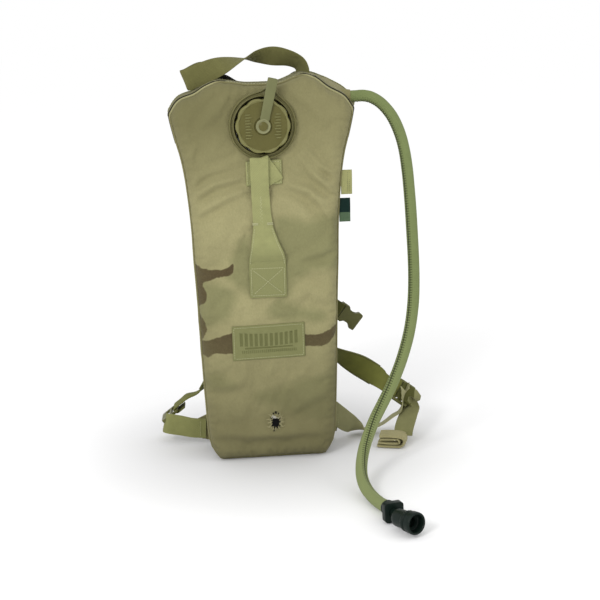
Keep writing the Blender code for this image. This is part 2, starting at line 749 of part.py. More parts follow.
def lock_frame(side):
    """Where a ladder lock's strap bar lies, which way the strap runs on through it, and its width."""
    if side > 0:
        return Vector((0.1690, 0.0330, 0.0600)), Vector((0.80, -0.20, -0.57)), Vector((-0.28, -0.70, -0.65))
    return Vector((-0.1195, 0.0500, 0.0440)), Vector((-0.80, 0.00, -0.60)), Vector((0.0, -0.995, 0.05))


def lock_matrix(side):
    """Local X runs on through the lock, local Y along its bars, local Z is its face."""
    origin, travel, across = lock_frame(side)
    return frame_matrix(origin, travel, travel.cross(across))


STRAP_ROWS = (
    ((0.0380, 0.0350, 0.4400), (1, 0, 0), 0.050),
    ((0.0400, 0.0352, 0.4250), (1, 0, 0), 0.050),
    ((0.0440, 0.0460, 0.3900), (1, 0, 0), 0.050),
    ((0.0520, 0.0630, 0.3350), (1, 0, 0), 0.048),
    ((0.0600, 0.0700, 0.2600), (1, 0, 0), 0.044),
    ((0.0620, 0.0700, 0.2200), (1, 0, 0), 0.042),
    ((0.0620, 0.0700, 0.1700), (1, 0, 0), 0.042),
    ((0.0620, 0.0700, 0.1300), (1, 0, 0), 0.042),
)
STRAP_ENDS = {
    1: (((0.0680, 0.0680, 0.1200), (0.90, -0.25, 0.35), 0.038),
        ((0.0790, 0.0650, 0.1085), (0.62, -0.62, 0.48), 0.033),
        ((0.0930, 0.0610, 0.1035), (0.30, -0.78, 0.55), 0.030),
        ((0.1100, 0.0560, 0.0945), (0.45, -0.50, 0.74), 0.029),
        ((0.1270, 0.0500, 0.0860), (0.58, -0.05, 0.81), 0.028),
        ((0.1430, 0.0430, 0.0765), (0.50, 0.25, 0.83), 0.027)),
    -1: (((-0.0640, 0.0690, 0.1060), (-0.95, -0.25, 0.10), 0.036),
         ((-0.0740, 0.0635, 0.0800), (-0.55, -0.80, 0.25), 0.030),
         ((-0.0890, 0.0570, 0.0640), (-0.12, -0.97, 0.20), 0.027)),
}


def lock_local(side, points, width):
    """Stations given in a lock's own frame as (along, off its face)."""
    matrix = lock_matrix(side)
    across = matrix.to_3x3() @ Vector((0, 1, 0))
    return [(tuple(matrix @ Vector((along, 0.0, off))), tuple(across), width) for along, off in points]


def add_shoulder_straps():
    loop = LOCK_LOOP
    for side, mark in ((1, "R"), (-1, "L")):
        rows = [((side * x, y, z), (side * ax, ay, az), width)
                for (x, y, z), (ax, ay, az), width in STRAP_ROWS]
        rows += STRAP_ENDS[side]
        sign = 1 if Vector(rows[-1][1]).dot(lock_matrix(side).to_3x3() @ Vector((0, 1, 0))) > 0 else -1
        tail = lock_local(side, ((-0.0200, loop), (-0.0080, loop), (0.0, loop), (0.0025, loop * 0.7),
                                 (0.0035, 0.0), (0.0025, -loop * 0.7), (0.0, -loop), (-0.0080, -loop)), 0.0260)
        rows += [(centre, tuple(sign * value for value in across), width) for centre, across, width in tail]
        ribbon(f"shoulder_strap_{mark}", rows, STRAP, "strap_cloth", 3)


def add_ladder_locks():
    for side, mark in ((1, "R"), (-1, "L")):
        outlines = [rounded_box(0.0128, LOCK_HALF_WIDTH, 0.0030, (0.0112, 0.0)),
                    rounded_box(0.0033, 0.0139, 0.0008, (0.0051, 0.0), 1),
                    rounded_box(0.0033, 0.0139, 0.0008, (0.0150, 0.0), 1)]
        flat_plate(f"ladder_lock_{mark}", outlines, LOCK_THICK, "buckle_plastic", lock_matrix(side))


def add_lower_webbings():
    right = (
        ((0.0912, 0.0205, 0.0265), (-0.30, 0.05, -0.90), 0.027),
        ((0.0990, 0.0205, 0.0215), (-0.35, -0.02, -0.90), 0.027),
        ((0.1100, 0.0220, 0.0150), (-0.35, 0.50, -0.75), 0.027),
        ((0.1240, 0.0250, 0.0080), (-0.10, 0.97, -0.22), 0.027),
        ((0.1460, 0.0255, 0.0130), (0.08, 0.97, -0.21), 0.027),
        ((0.1620, 0.0245, 0.0240), (0.10, 0.97, -0.16), 0.027),
        ((0.1740, 0.0240, 0.0330), (0.12, 0.97, -0.14), 0.026),
    )
    left = (
        ((-0.0912, 0.0200, 0.0240), (0.05, 0.05, -1.00), 0.027),
        ((-0.1020, 0.0215, 0.0250), (0.00, 0.05, -1.00), 0.027),
        ((-0.1160, 0.0250, 0.0275), (-0.20, 0.00, -1.00), 0.027),
        ((-0.1300, 0.0275, 0.0300), (-0.42, 0.00, -0.90), 0.026),
    )
    ribbon("lower_webbing_R", right, WEBBING, "webbing")
    ribbon("lower_webbing_L", left, WEBBING, "webbing")
    for side, mark in ((1, "R"), (-1, "L")):
        tab = (((side * 0.0815, 0.0230, 0.0235), (side * 0.10, 0.0, -1.0), 0.034),
               ((side * 0.0860, 0.0230, 0.0230), (side * 0.05, 0.0, -1.0), 0.031),
               ((side * 0.0905, 0.0230, 0.0220), (-side * 0.10, 0.0, -1.0), 0.028))
        ribbon(f"corner_tab_{mark}", tab, CLOTH, "tan_cloth", 1)


def add_webbing_tails():
    """The loose ends beyond the ladder locks. The right one ends in a folded, stitched bundle."""
    right = (
        ((0.1880, 0.0210, 0.0370), (0.20, -0.90, -0.35), 0.026),
        ((0.1835, 0.0070, 0.0270), (0.35, -0.92, -0.10), 0.026),
        ((0.1805, -0.0060, 0.0190), (0.05, -0.99, 0.0), 0.026),
        ((0.1775, -0.0150, 0.0120), (-0.31, -0.95, 0.0), 0.026),
    )
    right = tuple(lock_local(1, ((0.0280, -0.0030),), 0.026)) + right
    left = (
        ((-0.1425, 0.0500, 0.0255), (0.0, -1.0, 0.05), 0.026),
        ((-0.1435, 0.0520, 0.0170), (0.0, -1.0, 0.0), 0.026),
        ((-0.1405, 0.0545, 0.0095), (0.0, -1.0, 0.0), 0.026),
        ((-0.1345, 0.0560, 0.0065), (0.0, -1.0, 0.0), 0.026),
    )
    ribbon("webbing_tail_R", right, WEBBING, "webbing")
    ribbon("webbing_tail_L", left, WEBBING, "webbing")
    c, s = math.cos(BUNDLE_TURN), math.sin(BUNDLE_TURN)
    bundle = frame_matrix(BUNDLE_CENTRE, (c, -s, 0), (-s, -c, 0))
    flat_plate("webbing_bundle_R", [rounded_box(*BUNDLE_HALF, 0.0060)], 0.0255, "webbing", bundle)


# ---- the sternum strap, open and hanging from its two sliders ----

def add_sternum():
    for side, mark in ((1, "R"), (-1, "L")):
        ring = frame_matrix((side * 0.0620, 0.0700, 0.1720), (1, 0, 0), (0, 0, 1))
        outlines = [rounded_box(0.0242, SLIDER_THICK, 0.0015), rounded_box(0.0217, 0.0017, 0.0005, steps=1)]
        flat_plate(f"sternum_slider_{mark}", outlines, 0.0100, "buckle_plastic", ring)
    right = (
        (STERNUM_R_START, (0.33, 0.0, 0.945), STERNUM_WIDTH),
        ((0.0800, 0.0765, 0.1705), (0.40, 0.0, 0.92), STERNUM_WIDTH),
        ((0.0930, 0.0765, 0.1650), (0.50, 0.0, 0.86), STERNUM_WIDTH),
        ((0.0985, 0.0765, 0.1615), (0.58, 0.0, 0.81), STERNUM_WIDTH),
    )
    ribbon("sternum_webbing_R", right, WEBBING, "webbing", 2)
    left = [(tuple(Vector(STERNUM_L_START) + STERNUM_L_HANG * reach), (1.0, 0.0, -0.06), STERNUM_WIDTH)
            for reach in (0.0, 0.015, 0.030, STERNUM_GRIP - 2 * GAP)]
    ribbon("sternum_webbing_L", left, WEBBING, "webbing", 2)
    add_female_buckle()
    add_male_buckle()


def add_female_buckle():
    """A socket with open sides at its waist and a bar for the webbing behind it."""
    matrix = frame_matrix((0.0992, 0.0765, 0.1610), (0.79, 0.0, -0.61), (0, -1, 0))
    outline = [(0.0, -0.0105), (0.0, 0.0105), (0.0015, 0.0120), (0.0115, 0.0120), (0.0150, 0.0085),
               (0.0200, 0.0080), (0.0240, 0.0095), (0.0270, 0.0125), (0.0330, 0.0120), (0.0335, 0.0100)]
    outline += [(x, -y) for x, y in reversed(outline[3:])] + [(0.0015, -0.0120)]
    outlines = [outline, rounded_box(0.0014, 0.0102, 0.0006, (0.0050, 0.0), 1)]
    body = as_mesh(flat_plate("female_buckle", outlines, BUCKLE_THICK, "buckle_plastic", matrix))
    socket = box_mesh("socket", (0.0230, 0.0172, 0.0052), (0.0235, 0.0, 0.0))
    boolean(body, place_cutter("buckle_socket", socket, matrix))


def add_male_buckle():
    matrix = frame_matrix(Vector(STERNUM_L_START) + STERNUM_L_HANG * STERNUM_GRIP, STERNUM_L_HANG, (0, -1, 0))
    outline = [(0.0, 0.0100), (0.0010, 0.0115), (0.0130, 0.0115), (0.0145, 0.0095), (0.0290, 0.0088),
               (0.0330, 0.0072), (0.0320, 0.0058), (0.0280, 0.0060), (0.0170, 0.0062), (0.0160, 0.0040),
               (0.0170, 0.0024), (0.0330, 0.0024), (0.0345, 0.0010)]
    outline += [(x, -y) for x, y in reversed(outline)]
    flat_plate("male_buckle", [outline, rounded_box(0.0014, 0.0095, 0.0006, (0.0050, 0.0), 1)], 0.0046,
               "buckle_plastic", matrix)


# ---- the hoses and the valve ----

def exit_matrix():
    """Local +Z runs out of the right shoulder along the hose, and meets its end face."""
    start = Vector(HOSE_ROUTE[0])
    travel = (Vector(HOSE_ROUTE[1]) - start).normalized()
    return frame_matrix(start - travel * (GROMMET_OUT + GAP), (0, 1, 0), travel)


def with_square_ends(points, first, last, reach=0.005):
    """The points with one more near each end, so that the end faces stand square to the given directions."""
    return [points[0], points[0] + first * reach] + points[1:-1] + [points[-1] - last * reach, points[-1]]


def add_hoses():
    matrix = exit_matrix()
    out = matrix.to_3x3() @ Vector((0, 0, 1))
    turned("hose_grommet", ((0.0, GROMMET_OUT), (0.0072, GROMMET_OUT), (0.0077, GROMMET_OUT * 0.6),
                            (0.0082, 0.0), (0.0082, -GROMMET_IN), (0.0, -GROMMET_IN)),
           "tan_cloth", matrix, steps=24)
    points = with_square_ends(evenly(HOSE_ROUTE, HOSE_STEP), out, valve_axis())
    tube("drinking_hose", points, HOSE_R, "hose_cover", 3)
    inner_end = matrix @ Vector((0, 0, -GROMMET_IN - GAP))
    points = evenly(INNER_ROUTE + (tuple(inner_end),), 0.018)
    up = Vector((0, 0, 1))
    tube("inner_hose", with_square_ends(points, up, out), INNER_HOSE_R, "hose_tube", 1)
    elbow = ((0.0635, -0.0040, 0.0500), (0.0680, -0.0040, 0.0505), (0.0720, -0.0040, 0.0540),
             (0.0740, -0.0040, 0.0600), (0.0740, -0.0040, 0.0785))
    tube("outlet_elbow", [Vector(point) for point in elbow], 0.0052, "collar_plastic", 1)


def valve_axis():
    return (VALVE_BEND - VALVE_START).normalized()


def add_valve():
    """A socket on the hose, a square collar that turns on its stem, and an elbow with an open mouth."""
    reach = (VALVE_BEND - VALVE_START).length
    along = valve_axis()
    socket = frame_matrix(VALVE_START, (0, 0, 1), along)
    turned("valve_socket", ((0.0, reach - 0.0080), (STEM_R, reach - 0.0080), (STEM_R, 0.0117),
                            (0.0082, 0.0117), (0.0086, 0.0050), (0.0080, 0.0), (0.0, 0.0)),
           "valve_plastic", socket, steps=24)
    bore = STEM_R + GAP
    outlines = [rounded_box(SHUTOFF_HALF, SHUTOFF_HALF, 0.0035),
                rounded_box(bore, bore, bore - 0.00001, steps=5)]
    middle = socket @ Matrix.Translation((0, 0, 0.0160))
    flat_plate("shutoff_collar", outlines, 0.0080, "valve_plastic", middle)
    outlet = (OUTLET_MOUTH - VALVE_BEND).normalized()
    length = (OUTLET_MOUTH - VALVE_BEND).length
    matrix = frame_matrix(VALVE_BEND, (0, 0, 1), outlet)
    cup = length - 0.0095
    elbow = turned("valve_elbow", (
        (0.0, 0.0095), (0.0060, 0.0095), (0.0060, cup), (OUTLET_BORE_R, cup), (OUTLET_BORE_R, length),
        (0.0118, length), (0.0122, length - 0.0010), (0.0122, cup + 0.0010), (0.0102, cup - 0.0010),
        (0.0112, cup - 0.0022), (0.0112, cup - 0.0060), (0.0098, 0.0040), (0.0098, -0.0060), (0.0080, -0.0092),
        (0.0, -0.0100)), "valve_plastic", matrix, steps=24)
    hole = place_cutter("stem_bore", cylinder_mesh("stem_bore", bore, 0.0, reach - 0.0070, 24), socket)
    boolean(elbow, hole)


# ---- the joints ----

def add_pivot(name, origin, axis, pieces, parent=None):
    """An empty on a joint's axis, its Z along it, that carries the pieces which move there."""
    pivot = bpy.data.objects.new(name, None)
    pivot.empty_display_type = "SINGLE_ARROW"
    pivot.empty_display_size = 0.02
    PACK.objects.link(pivot)
    sideways = (0, 1, 0) if abs(Vector(axis).normalized().x) > 0.9 else (1, 0, 0)
    matrix = frame_matrix(origin, sideways, axis)
    pivot.matrix_world = matrix
    for piece in pieces:
        PACK.objects[piece].parent = pivot
        PACK.objects[piece].matrix_parent_inverse = matrix.inverted()
    if parent:
        bpy.context.view_layer.update()
        pivot.parent = parent
        pivot.matrix_parent_inverse = parent.matrix_world.inverted()
    return pivot


def add_pivots():
    port = (0.0, PORT_Y, PORT_Z)
    lift = add_pivot("cap_lift", port, (0, -1, 0), ("cap_tether",))
    add_pivot("cap_turn", port, (0, -1, 0), ("cap", "tether_button"), lift)
    add_pivot("shutoff_turn", VALVE_START, valve_axis(), ("shutoff_collar",))
    add_pivot("outlet_swivel", VALVE_BEND, valve_axis(), ("valve_elbow",))
    add_pivot("handle_swing", HANDLE_AXIS[0], HANDLE_AXIS[1] - HANDLE_AXIS[0], ("carry_handle",))
    for side, mark, start in ((1, "R", STERNUM_R_START), (-1, "L", STERNUM_L_START)):
        slide = add_pivot(f"sternum_slide_{mark}", (side * 0.0620, 0.0700, 0.1720), (0, 0, 1),
                          (f"sternum_slider_{mark}",))
        buckle = "female_buckle" if side > 0 else "male_buckle"
        add_pivot(f"sternum_swing_{mark}", start, (0, 1, 0), (f"sternum_webbing_{mark}", buckle), slide)
        carried = [f"ladder_lock_{mark}", f"webbing_tail_{mark}"] + ["webbing_bundle_R"] * (side > 0)
        bar = lock_matrix(side).to_3x3() @ Vector((0, 1, 0))
        add_pivot(f"lock_tilt_{mark}", lock_frame(side)[0], bar, carried)


def build():
    add_front_panel()
    add_gusset()
    add_welts()
    add_back_panel()
    add_insulation()
    add_reservoir()
    add_port()
    add_front_pieces()
    add_side_labels()
    add_handle()
    add_shoulder_straps()
    add_ladder_locks()
    add_lower_webbings()
    add_webbing_tails()
    add_sternum()
    add_hoses()
    add_valve()
    add_pivots()


FINISHES = {}
clear_scene()
PACK = new_collection("hydration_pack")
CUTTERS = new_collection("cutters", hidden=True)
for finish, (colour, roughness) in MATERIALS.items():
    FINISHES[finish] = new_material(finish, colour, roughness)
build()
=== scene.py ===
"""Hydration pack, the visual model: a worn insulated carrier with its harness, hose and valve."""

import json
import math

import bmesh
import bpy
import numpy as np
from mathutils import Matrix, Vector, noise


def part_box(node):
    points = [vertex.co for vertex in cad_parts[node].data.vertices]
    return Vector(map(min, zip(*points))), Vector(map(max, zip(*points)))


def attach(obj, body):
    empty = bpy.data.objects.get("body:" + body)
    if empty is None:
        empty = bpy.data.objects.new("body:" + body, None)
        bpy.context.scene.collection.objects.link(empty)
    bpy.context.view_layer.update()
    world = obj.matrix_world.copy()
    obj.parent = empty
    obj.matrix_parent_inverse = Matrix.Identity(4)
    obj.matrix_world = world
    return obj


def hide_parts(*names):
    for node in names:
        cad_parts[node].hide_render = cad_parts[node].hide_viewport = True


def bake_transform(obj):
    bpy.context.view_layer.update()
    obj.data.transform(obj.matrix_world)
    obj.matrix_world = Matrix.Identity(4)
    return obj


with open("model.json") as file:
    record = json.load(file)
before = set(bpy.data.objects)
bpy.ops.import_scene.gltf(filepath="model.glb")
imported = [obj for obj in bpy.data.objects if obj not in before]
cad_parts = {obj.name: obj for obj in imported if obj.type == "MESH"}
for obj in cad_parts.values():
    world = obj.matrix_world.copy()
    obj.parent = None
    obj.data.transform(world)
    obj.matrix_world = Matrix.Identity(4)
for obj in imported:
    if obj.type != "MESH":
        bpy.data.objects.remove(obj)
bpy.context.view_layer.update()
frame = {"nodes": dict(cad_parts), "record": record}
BODY_OF = {node: body for body, nodes in frame["record"]["behaviour"]["bodies"].items() for node in nodes}

# The pack's outline, as the CAD has it: (height, half width) up the sides, (x, z) of the base and top.
SIDE = ((0.018, 0.077), (0.035, 0.08), (0.075, 0.082), (0.13, 0.084), (0.2, 0.086), (0.25, 0.088),
        (0.3, 0.0895), (0.35, 0.0935), (0.38, 0.098), (0.4, 0.103), (0.42, 0.1075), (0.432, 0.1095))
BOTTOM = ((0.0, 0.0), (0.06, 0.0), (0.07, 0.006), (0.077, 0.018))
TOP = ((0.0, 0.464), (0.022, 0.465), (0.04, 0.471), (0.052, 0.474), (0.066, 0.469), (0.08, 0.458),
       (0.099, 0.447), (0.1095, 0.432))
FRONT_SEAM_Y, BACK_SEAM_Y = -0.033, 0.0265
FRONT_RISE, FRONT_CROWN, BACK_RISE = 0.012, 0.0035, 0.006
EDGE_ROLL = 0.014
FRONTWARD = Vector((0.0, -1.0, 0.0))
PORT = Vector((0.0, -0.045, 0.4165))
TEAR = Vector((0.004, -0.0455, 0.0485))

CLOTH_INSET, CLOTH_THICK = 0.0012, 0.001
WEBBING = 0.0016
QUILT_CHANNELS = (0.105, 0.235, 0.365)

HOSE_R = 0.007
SEAM_PITCH = 0.0031
HOSE_ROUTE = (
    (0.1108, 0.0018, 0.4443), (0.1183, 0.001, 0.4445), (0.1275, 0.0, 0.4447), (0.1375, -0.002, 0.442),
    (0.149, -0.005, 0.434), (0.16, -0.009, 0.42), (0.168, -0.013, 0.402), (0.173, -0.018, 0.382),
    (0.1755, -0.024, 0.36), (0.177, -0.033, 0.328), (0.1775, -0.042, 0.295), (0.1775, -0.052, 0.258),
    (0.1765, -0.061, 0.224), (0.1735, -0.069, 0.193), (0.167, -0.077, 0.163), (0.1575, -0.084, 0.135),
    (0.146, -0.091, 0.11), (0.132, -0.0985, 0.086), (0.12, -0.107, 0.068), (0.1105, -0.117, 0.052),
    (0.1025, -0.13, 0.038), (0.097, -0.147, 0.026), (0.0945, -0.166, 0.0175), (0.096, -0.186, 0.0115),
    (0.101, -0.207, 0.0085), (0.107, -0.228, 0.0088), (0.1113, -0.243, 0.011),
)
VALVE_START = Vector((0.11137, -0.24329, 0.01102))
VALVE_BEND = Vector((0.1205, -0.2825, 0.0134))
OUTLET_MOUTH = Vector((0.1327, -0.304, 0.0158))

# Colours, linear.
TAN = (0.328, 0.303, 0.153)
GREEN = (0.15, 0.16, 0.068)
BROWN = (0.024, 0.007, 0.002)
WEB = (0.29, 0.295, 0.128)
WEB_DARK = (0.3, 0.292, 0.148)
STRAP = (0.148, 0.154, 0.036)
HOSE = (0.158, 0.194, 0.074)
THREAD = (0.43, 0.43, 0.24)


# ---- camera, floor and light ----

def add_camera():
    azimuth, elevation, roll, distance = math.radians(-5), math.radians(13), math.radians(-1.6), 1.5
    target = Vector((0.0425, 0.0, 0.193))
    back = Vector((math.sin(azimuth) * math.cos(elevation), -math.cos(azimuth) * math.cos(elevation),
                   math.sin(elevation)))
    right = Vector((0, 0, 1)).cross(back).normalized()
    up = back.cross(right)
    right, up = (right * math.cos(roll) + up * math.sin(roll), up * math.cos(roll) - right * math.sin(roll))
    data = bpy.data.cameras.new("camera")
    data.lens = 71.4
    data.sensor_width = 36.0
    camera = bpy.data.objects.new("camera", data)
    bpy.context.scene.collection.objects.link(camera)
    matrix = Matrix((right, up, back)).transposed().to_4x4()
    matrix.translation = target + back * distance
    camera.matrix_world = matrix
    bpy.context.scene.camera = camera


def add_light(name, place, target, size, power):
    data = bpy.data.lights.new(name, "AREA")
    data.shape = "DISK"
    data.size = size
    data.energy = power
    light = bpy.data.objects.new(name, data)
    bpy.context.scene.collection.objects.link(light)
    light.location = place
    light.rotation_euler = (Vector(target) - Vector(place)).to_track_quat("-Z", "Y").to_euler()


def add_stage():
    floor = grid("floor", 2, 2, lambda u, v: Vector((u * 40 - 20, v * 40 - 20, -0.0002)))
    look = Look("floor", 0.9, 0.0, 0.0)
    # Painted shadow: the floor's colour darkens towards the pack, deepest within 6 cm of it, and turns white
    # further out.
    far = look.node("ShaderNodeVectorMath", ((0, look.place()),), operation="LENGTH").outputs["Value"]
    near = look.mix(look.ramp(far, 0.06, 0.26), (0.68, 0.68, 0.69), (0.9, 0.9, 0.905))
    look.colour(look.mix(look.ramp(far, 0.2, 0.75), near, (1.0, 1.0, 1.0)))
    floor.data.materials.append(look.material)
    world = bpy.data.worlds.new("studio")
    world.use_nodes = True
    world.node_tree.nodes["Background"].inputs["Color"].default_value = (1.0, 1.0, 1.0, 1.0)
    world.node_tree.nodes["Background"].inputs["Strength"].default_value = 1.0
    bpy.context.scene.world = world
    bpy.context.scene.view_settings.view_transform = "Standard"
    add_light("key", (-1.1, -1.6, 1.35), (0, 0, 0.22), 0.6, 17)
    add_light("fill", (1.5, -1.0, 0.9), (0, 0, 0.2), 1.0, 3)


# ---- materials ----

class Look:
    """A Principled material with short calls for its nodes."""

    def __init__(self, name, roughness, sheen=0.0, specular=0.2):
        self.material = bpy.data.materials.new(name)
        self.material.use_nodes = True
        self.tree = self.material.node_tree
        self.shader = self.tree.nodes["Principled BSDF"]
        self.set("Roughness", roughness)
        self.set("Sheen Weight", sheen)
        self.set("Specular IOR Level", specular)

    def set(self, name, value):
        self.shader.inputs[name].default_value = value

    def link(self, value, socket):
        if isinstance(value, bpy.types.NodeSocket):
            self.tree.links.new(value, socket)
        else:
            socket.default_value = value

    def node(self, kind, inputs=(), **settings):
        node = self.tree.nodes.new(kind)
        for key, value in settings.items():
            setattr(node, key, value)
        for key, value in inputs:
            self.link(value, node.inputs[key])
        return node

    def uv(self):
        return self.node("ShaderNodeUVMap", uv_map="flat").outputs["UV"]

    def place(self):
        return self.node("ShaderNodeTexCoord").outputs["Object"]

    def attribute(self, name):
        return self.node("ShaderNodeAttribute", attribute_name=name).outputs["Fac"]

    def math(self, operation, a, b=0.0, clamp=False):
        return self.node("ShaderNodeMath", ((0, a), (1, b)), operation=operation, use_clamp=clamp).outputs[0]

    def times(self, a, b):
        return self.math("MULTIPLY", a, b)

    def plus(self, a, b):
        return self.math("ADD", a, b)

    def flip(self, value):
        return self.math("SUBTRACT", 1.0, value)

    def tint(self, colour, other, mask, amount):
        """The other colour over the first, by amount where the mask is 1."""
        return self.mix(self.times(mask, amount), colour, other)

    def mix(self, factor, a, b):
        rgb = [c if isinstance(c, bpy.types.NodeSocket) else (*c[:3], 1.0) for c in (a, b)]
        return self.node("ShaderNodeMix", ((0, factor), (6, rgb[0]), (7, rgb[1])),
                         data_type="RGBA").outputs[2]

    def noise(self, vector, scale, detail=3.0, rough=0.55):
        return self.node("ShaderNodeTexNoise", (("Vector", vector), ("Scale", scale), ("Detail", detail),
                                                ("Roughness", rough))).outputs["Fac"]

    def scaled(self, vector, factors):
        return self.node("ShaderNodeVectorMath", ((0, vector), (1, factors)), operation="MULTIPLY").outputs[0]

    def parts(self, vector):
        return self.node("ShaderNodeSeparateXYZ", ((0, vector),)).outputs

    def ramp(self, value, low, high):
        """0 below low, 1 above high."""
        return self.node("ShaderNodeMapRange", ((0, value), (1, low), (2, high))).outputs[0]

    def wave(self, value, pitch):
        return self.math("SINE", self.math("MULTIPLY", value, 2 * math.pi / pitch))

    def colour(self, value):
        self.link(value, self.shader.inputs["Base Color"])

    def rough(self, value):
        self.link(value, self.shader.inputs["Roughness"])

    def bump(self, height, distance, strength=1.0):
        node = self.node("ShaderNodeBump", (("Height", height), ("Distance", distance),
                                            ("Strength", strength)))
        before = self.shader.inputs["Normal"].links
        if before:
            self.link(before[0].from_socket, node.inputs["Normal"])
        self.link(node.outputs[0], self.shader.inputs["Normal"])


def shade(colour, factor, lift=0.0):
    return tuple(c * factor + lift for c in colour)


def cloth_look(name, camo=False, base=TAN, painted_shade=True, shoulder=False):
    """Coated woven nylon: a plain weave, printed, faded in patches, and where asked painted shade: darker
    towards the ground, at the top left and near the edges.
    """
    look = Look(name, 0.9, 0.06, 0.08)
    uv = look.uv()
    across, along, _ = look.parts(uv)
    weave = look.times(look.wave(across, 0.0011), look.wave(along, 0.0011))
    place = look.place()
    colour = base
    if camo:
        edge = look.times(look.math("SUBTRACT", look.noise(place, 160, 4, 0.7), 0.5), 0.005)
        soft = look.times(look.math("SUBTRACT", look.noise(place, 60, 3), 0.5), 0.012)
        green = look.ramp(look.plus(look.attribute("green"), soft), -0.006, 0.006)
        colour = look.tint(base, GREEN, green, 0.62)
    fade = look.ramp(look.noise(look.scaled(place, (1.0, 1.0, 0.7)), 22, 5, 0.62), 0.32, 0.7)
    colour = look.tint(colour, look.mix(0.6, colour, (0.12, 0.11, 0.048)), fade, 0.36)
    if camo:
        brown = look.ramp(look.plus(look.attribute("brown"), edge), -0.0006, 0.0006)
        worn = look.ramp(look.noise(place, 420, 3, 0.7), 0.3, 0.8)
        colour = look.tint(colour, look.mix(worn, BROWN, (0.06, 0.034, 0.016)), brown, 0.97)
    if painted_shade:
        height = look.parts(place)[2]
        # Painted shade: the cloth is painted darker towards the ground.
        low = look.flip(look.ramp(height, 0.02, 0.19))
        low = look.times(low, look.plus(0.76, look.times(fade, 0.18)))
        colour = look.mix(low, colour, (0.108, 0.099, 0.044))
        # Painted shade: darker at the top left of the pack.
        high = look.times(look.ramp(height, 0.33, 0.42), look.ramp(look.parts(place)[0], 0.26, -0.08))
        colour = look.tint(colour, (0.14, 0.13, 0.056), high, 0.98)
        # Painted shade: darker near the panel's edges and seams.
        rim = look.times(look.attribute("rim"), look.plus(0.15, look.times(fade, 0.35)))
        colour = look.mix(rim, colour, (0.098, 0.09, 0.04))
    if shoulder:
        near = look.times(look.ramp(look.math("ABSOLUTE", look.parts(place)[0]), 0.048, 0.058),
                          look.ramp(look.parts(place)[2], 0.425, 0.44))
        colour = look.mix(near, (0.165, 0.153, 0.07), colour)
    fine = look.ramp(look.noise(look.scaled(place, (1.0, 1.0, 0.6)), 560, 3, 0.75), 0.3, 0.7)
    colour = look.tint(colour, look.mix(0.5, colour, (0.08, 0.074, 0.033)), fine, 0.42)
    colour = look.tint(colour, (0.4, 0.37, 0.2), look.plus(weave, 1.0), 0.085)
    look.colour(colour)
    look.bump(weave, 0.00012, 0.7)
    look.bump(look.noise(place, 260, 3, 0.6), 0.0005, 0.5)
    look.rough(look.plus(0.8, look.times(fine, 0.15)))
    return look.material


def webbing_look(name, base=WEB, pitch=0.0021, contrast=0.25, darker_below=None):
    """Nylon webbing: fine ribs across it and close rows of yarn along it."""
    look = Look(name, 0.85, 0.06, 0.08)
    across, along, _ = look.parts(look.uv())
    rib = look.wave(along, pitch)
    yarn = look.wave(across, 0.0026)
    cross = look.times(rib, yarn)
    place = look.place()
    spots = look.ramp(look.noise(place, 90, 4, 0.6), 0.35, 0.72)
    dark = shade(base, 0.62)
    pale = shade(base, 1.35, 0.006)
    # The colour is darker below the given height, where one is given; the worn mask is 0 below it.
    if darker_below:
        worn = look.ramp(look.parts(place)[2], darker_below, darker_below + 0.035)
        base = look.mix(worn, shade(base, 0.66), base)
    colour = look.tint(base, dark, spots, 0.45)
    colour = look.tint(colour, pale, look.plus(cross, 1.0), contrast * 0.5)
    fuzz = look.noise(place, 1100, 2, 0.7)
    colour = look.tint(colour, dark, fuzz, 0.3)
    look.colour(colour)
    look.bump(cross, 0.00022, 0.8)
    look.bump(fuzz, 0.0003, 0.35)
    return look.material


def thread_look(name, base=THREAD):
    look = Look(name, 0.75, 0.1, 0.1)
    place = look.place()
    twist = look.noise(place, 1500, 2, 0.6)
    look.colour(look.tint(base, shade(base, 0.6), twist, 0.5))
    look.bump(twist, 0.0002, 0.6)
    return look.material


def plastic_look(name, base, roughness, dust, specular=0.2):
    """Moulded nylon: a fine grain, scuffs, and dust in patches."""
    look = Look(name, roughness, 0.0, specular)
    place = look.place()
    patch = look.ramp(look.noise(place, 70, 4, 0.65), 0.38, 0.72)
    scuff = look.ramp(look.noise(look.scaled(place, (1.0, 1.0, 3.0)), 480, 4, 0.7), 0.56, 0.74)
    dusty = shade(base, 1.25, 0.01)
    colour = look.tint(base, dusty, patch, dust)
    colour = look.tint(colour, shade(base, 1.5, 0.015), scuff, dust * 0.7)
    look.colour(colour)
    look.rough(look.plus(roughness - 0.06, look.times(patch, 0.22)))
    look.bump(look.noise(place, 700, 2, 0.5), 0.00025, 0.35)
    return look.material


def mesh_look(name):
    """Black spacer mesh: rows of small open cells over foam."""
    look = Look(name, 0.9, 0.05, 0.08)
    cells = look.node("ShaderNodeTexVoronoi", (("Vector", look.scaled(look.uv(), (1.0, 0.8, 1.0))),
                                               ("Scale", 330), ("Randomness", 0.12)),
                      feature="F1").outputs["Distance"]
    hole = look.ramp(cells, 0.15, 0.45)
    spread = look.noise(look.place(), 40, 4, 0.6)
    colour = look.mix(hole, (0.004, 0.004, 0.004), (0.022, 0.022, 0.02))
    look.colour(look.tint(colour, (0.05, 0.047, 0.036), spread, 0.35))
    look.bump(hole, 0.0006, 0.9)
    return look.material


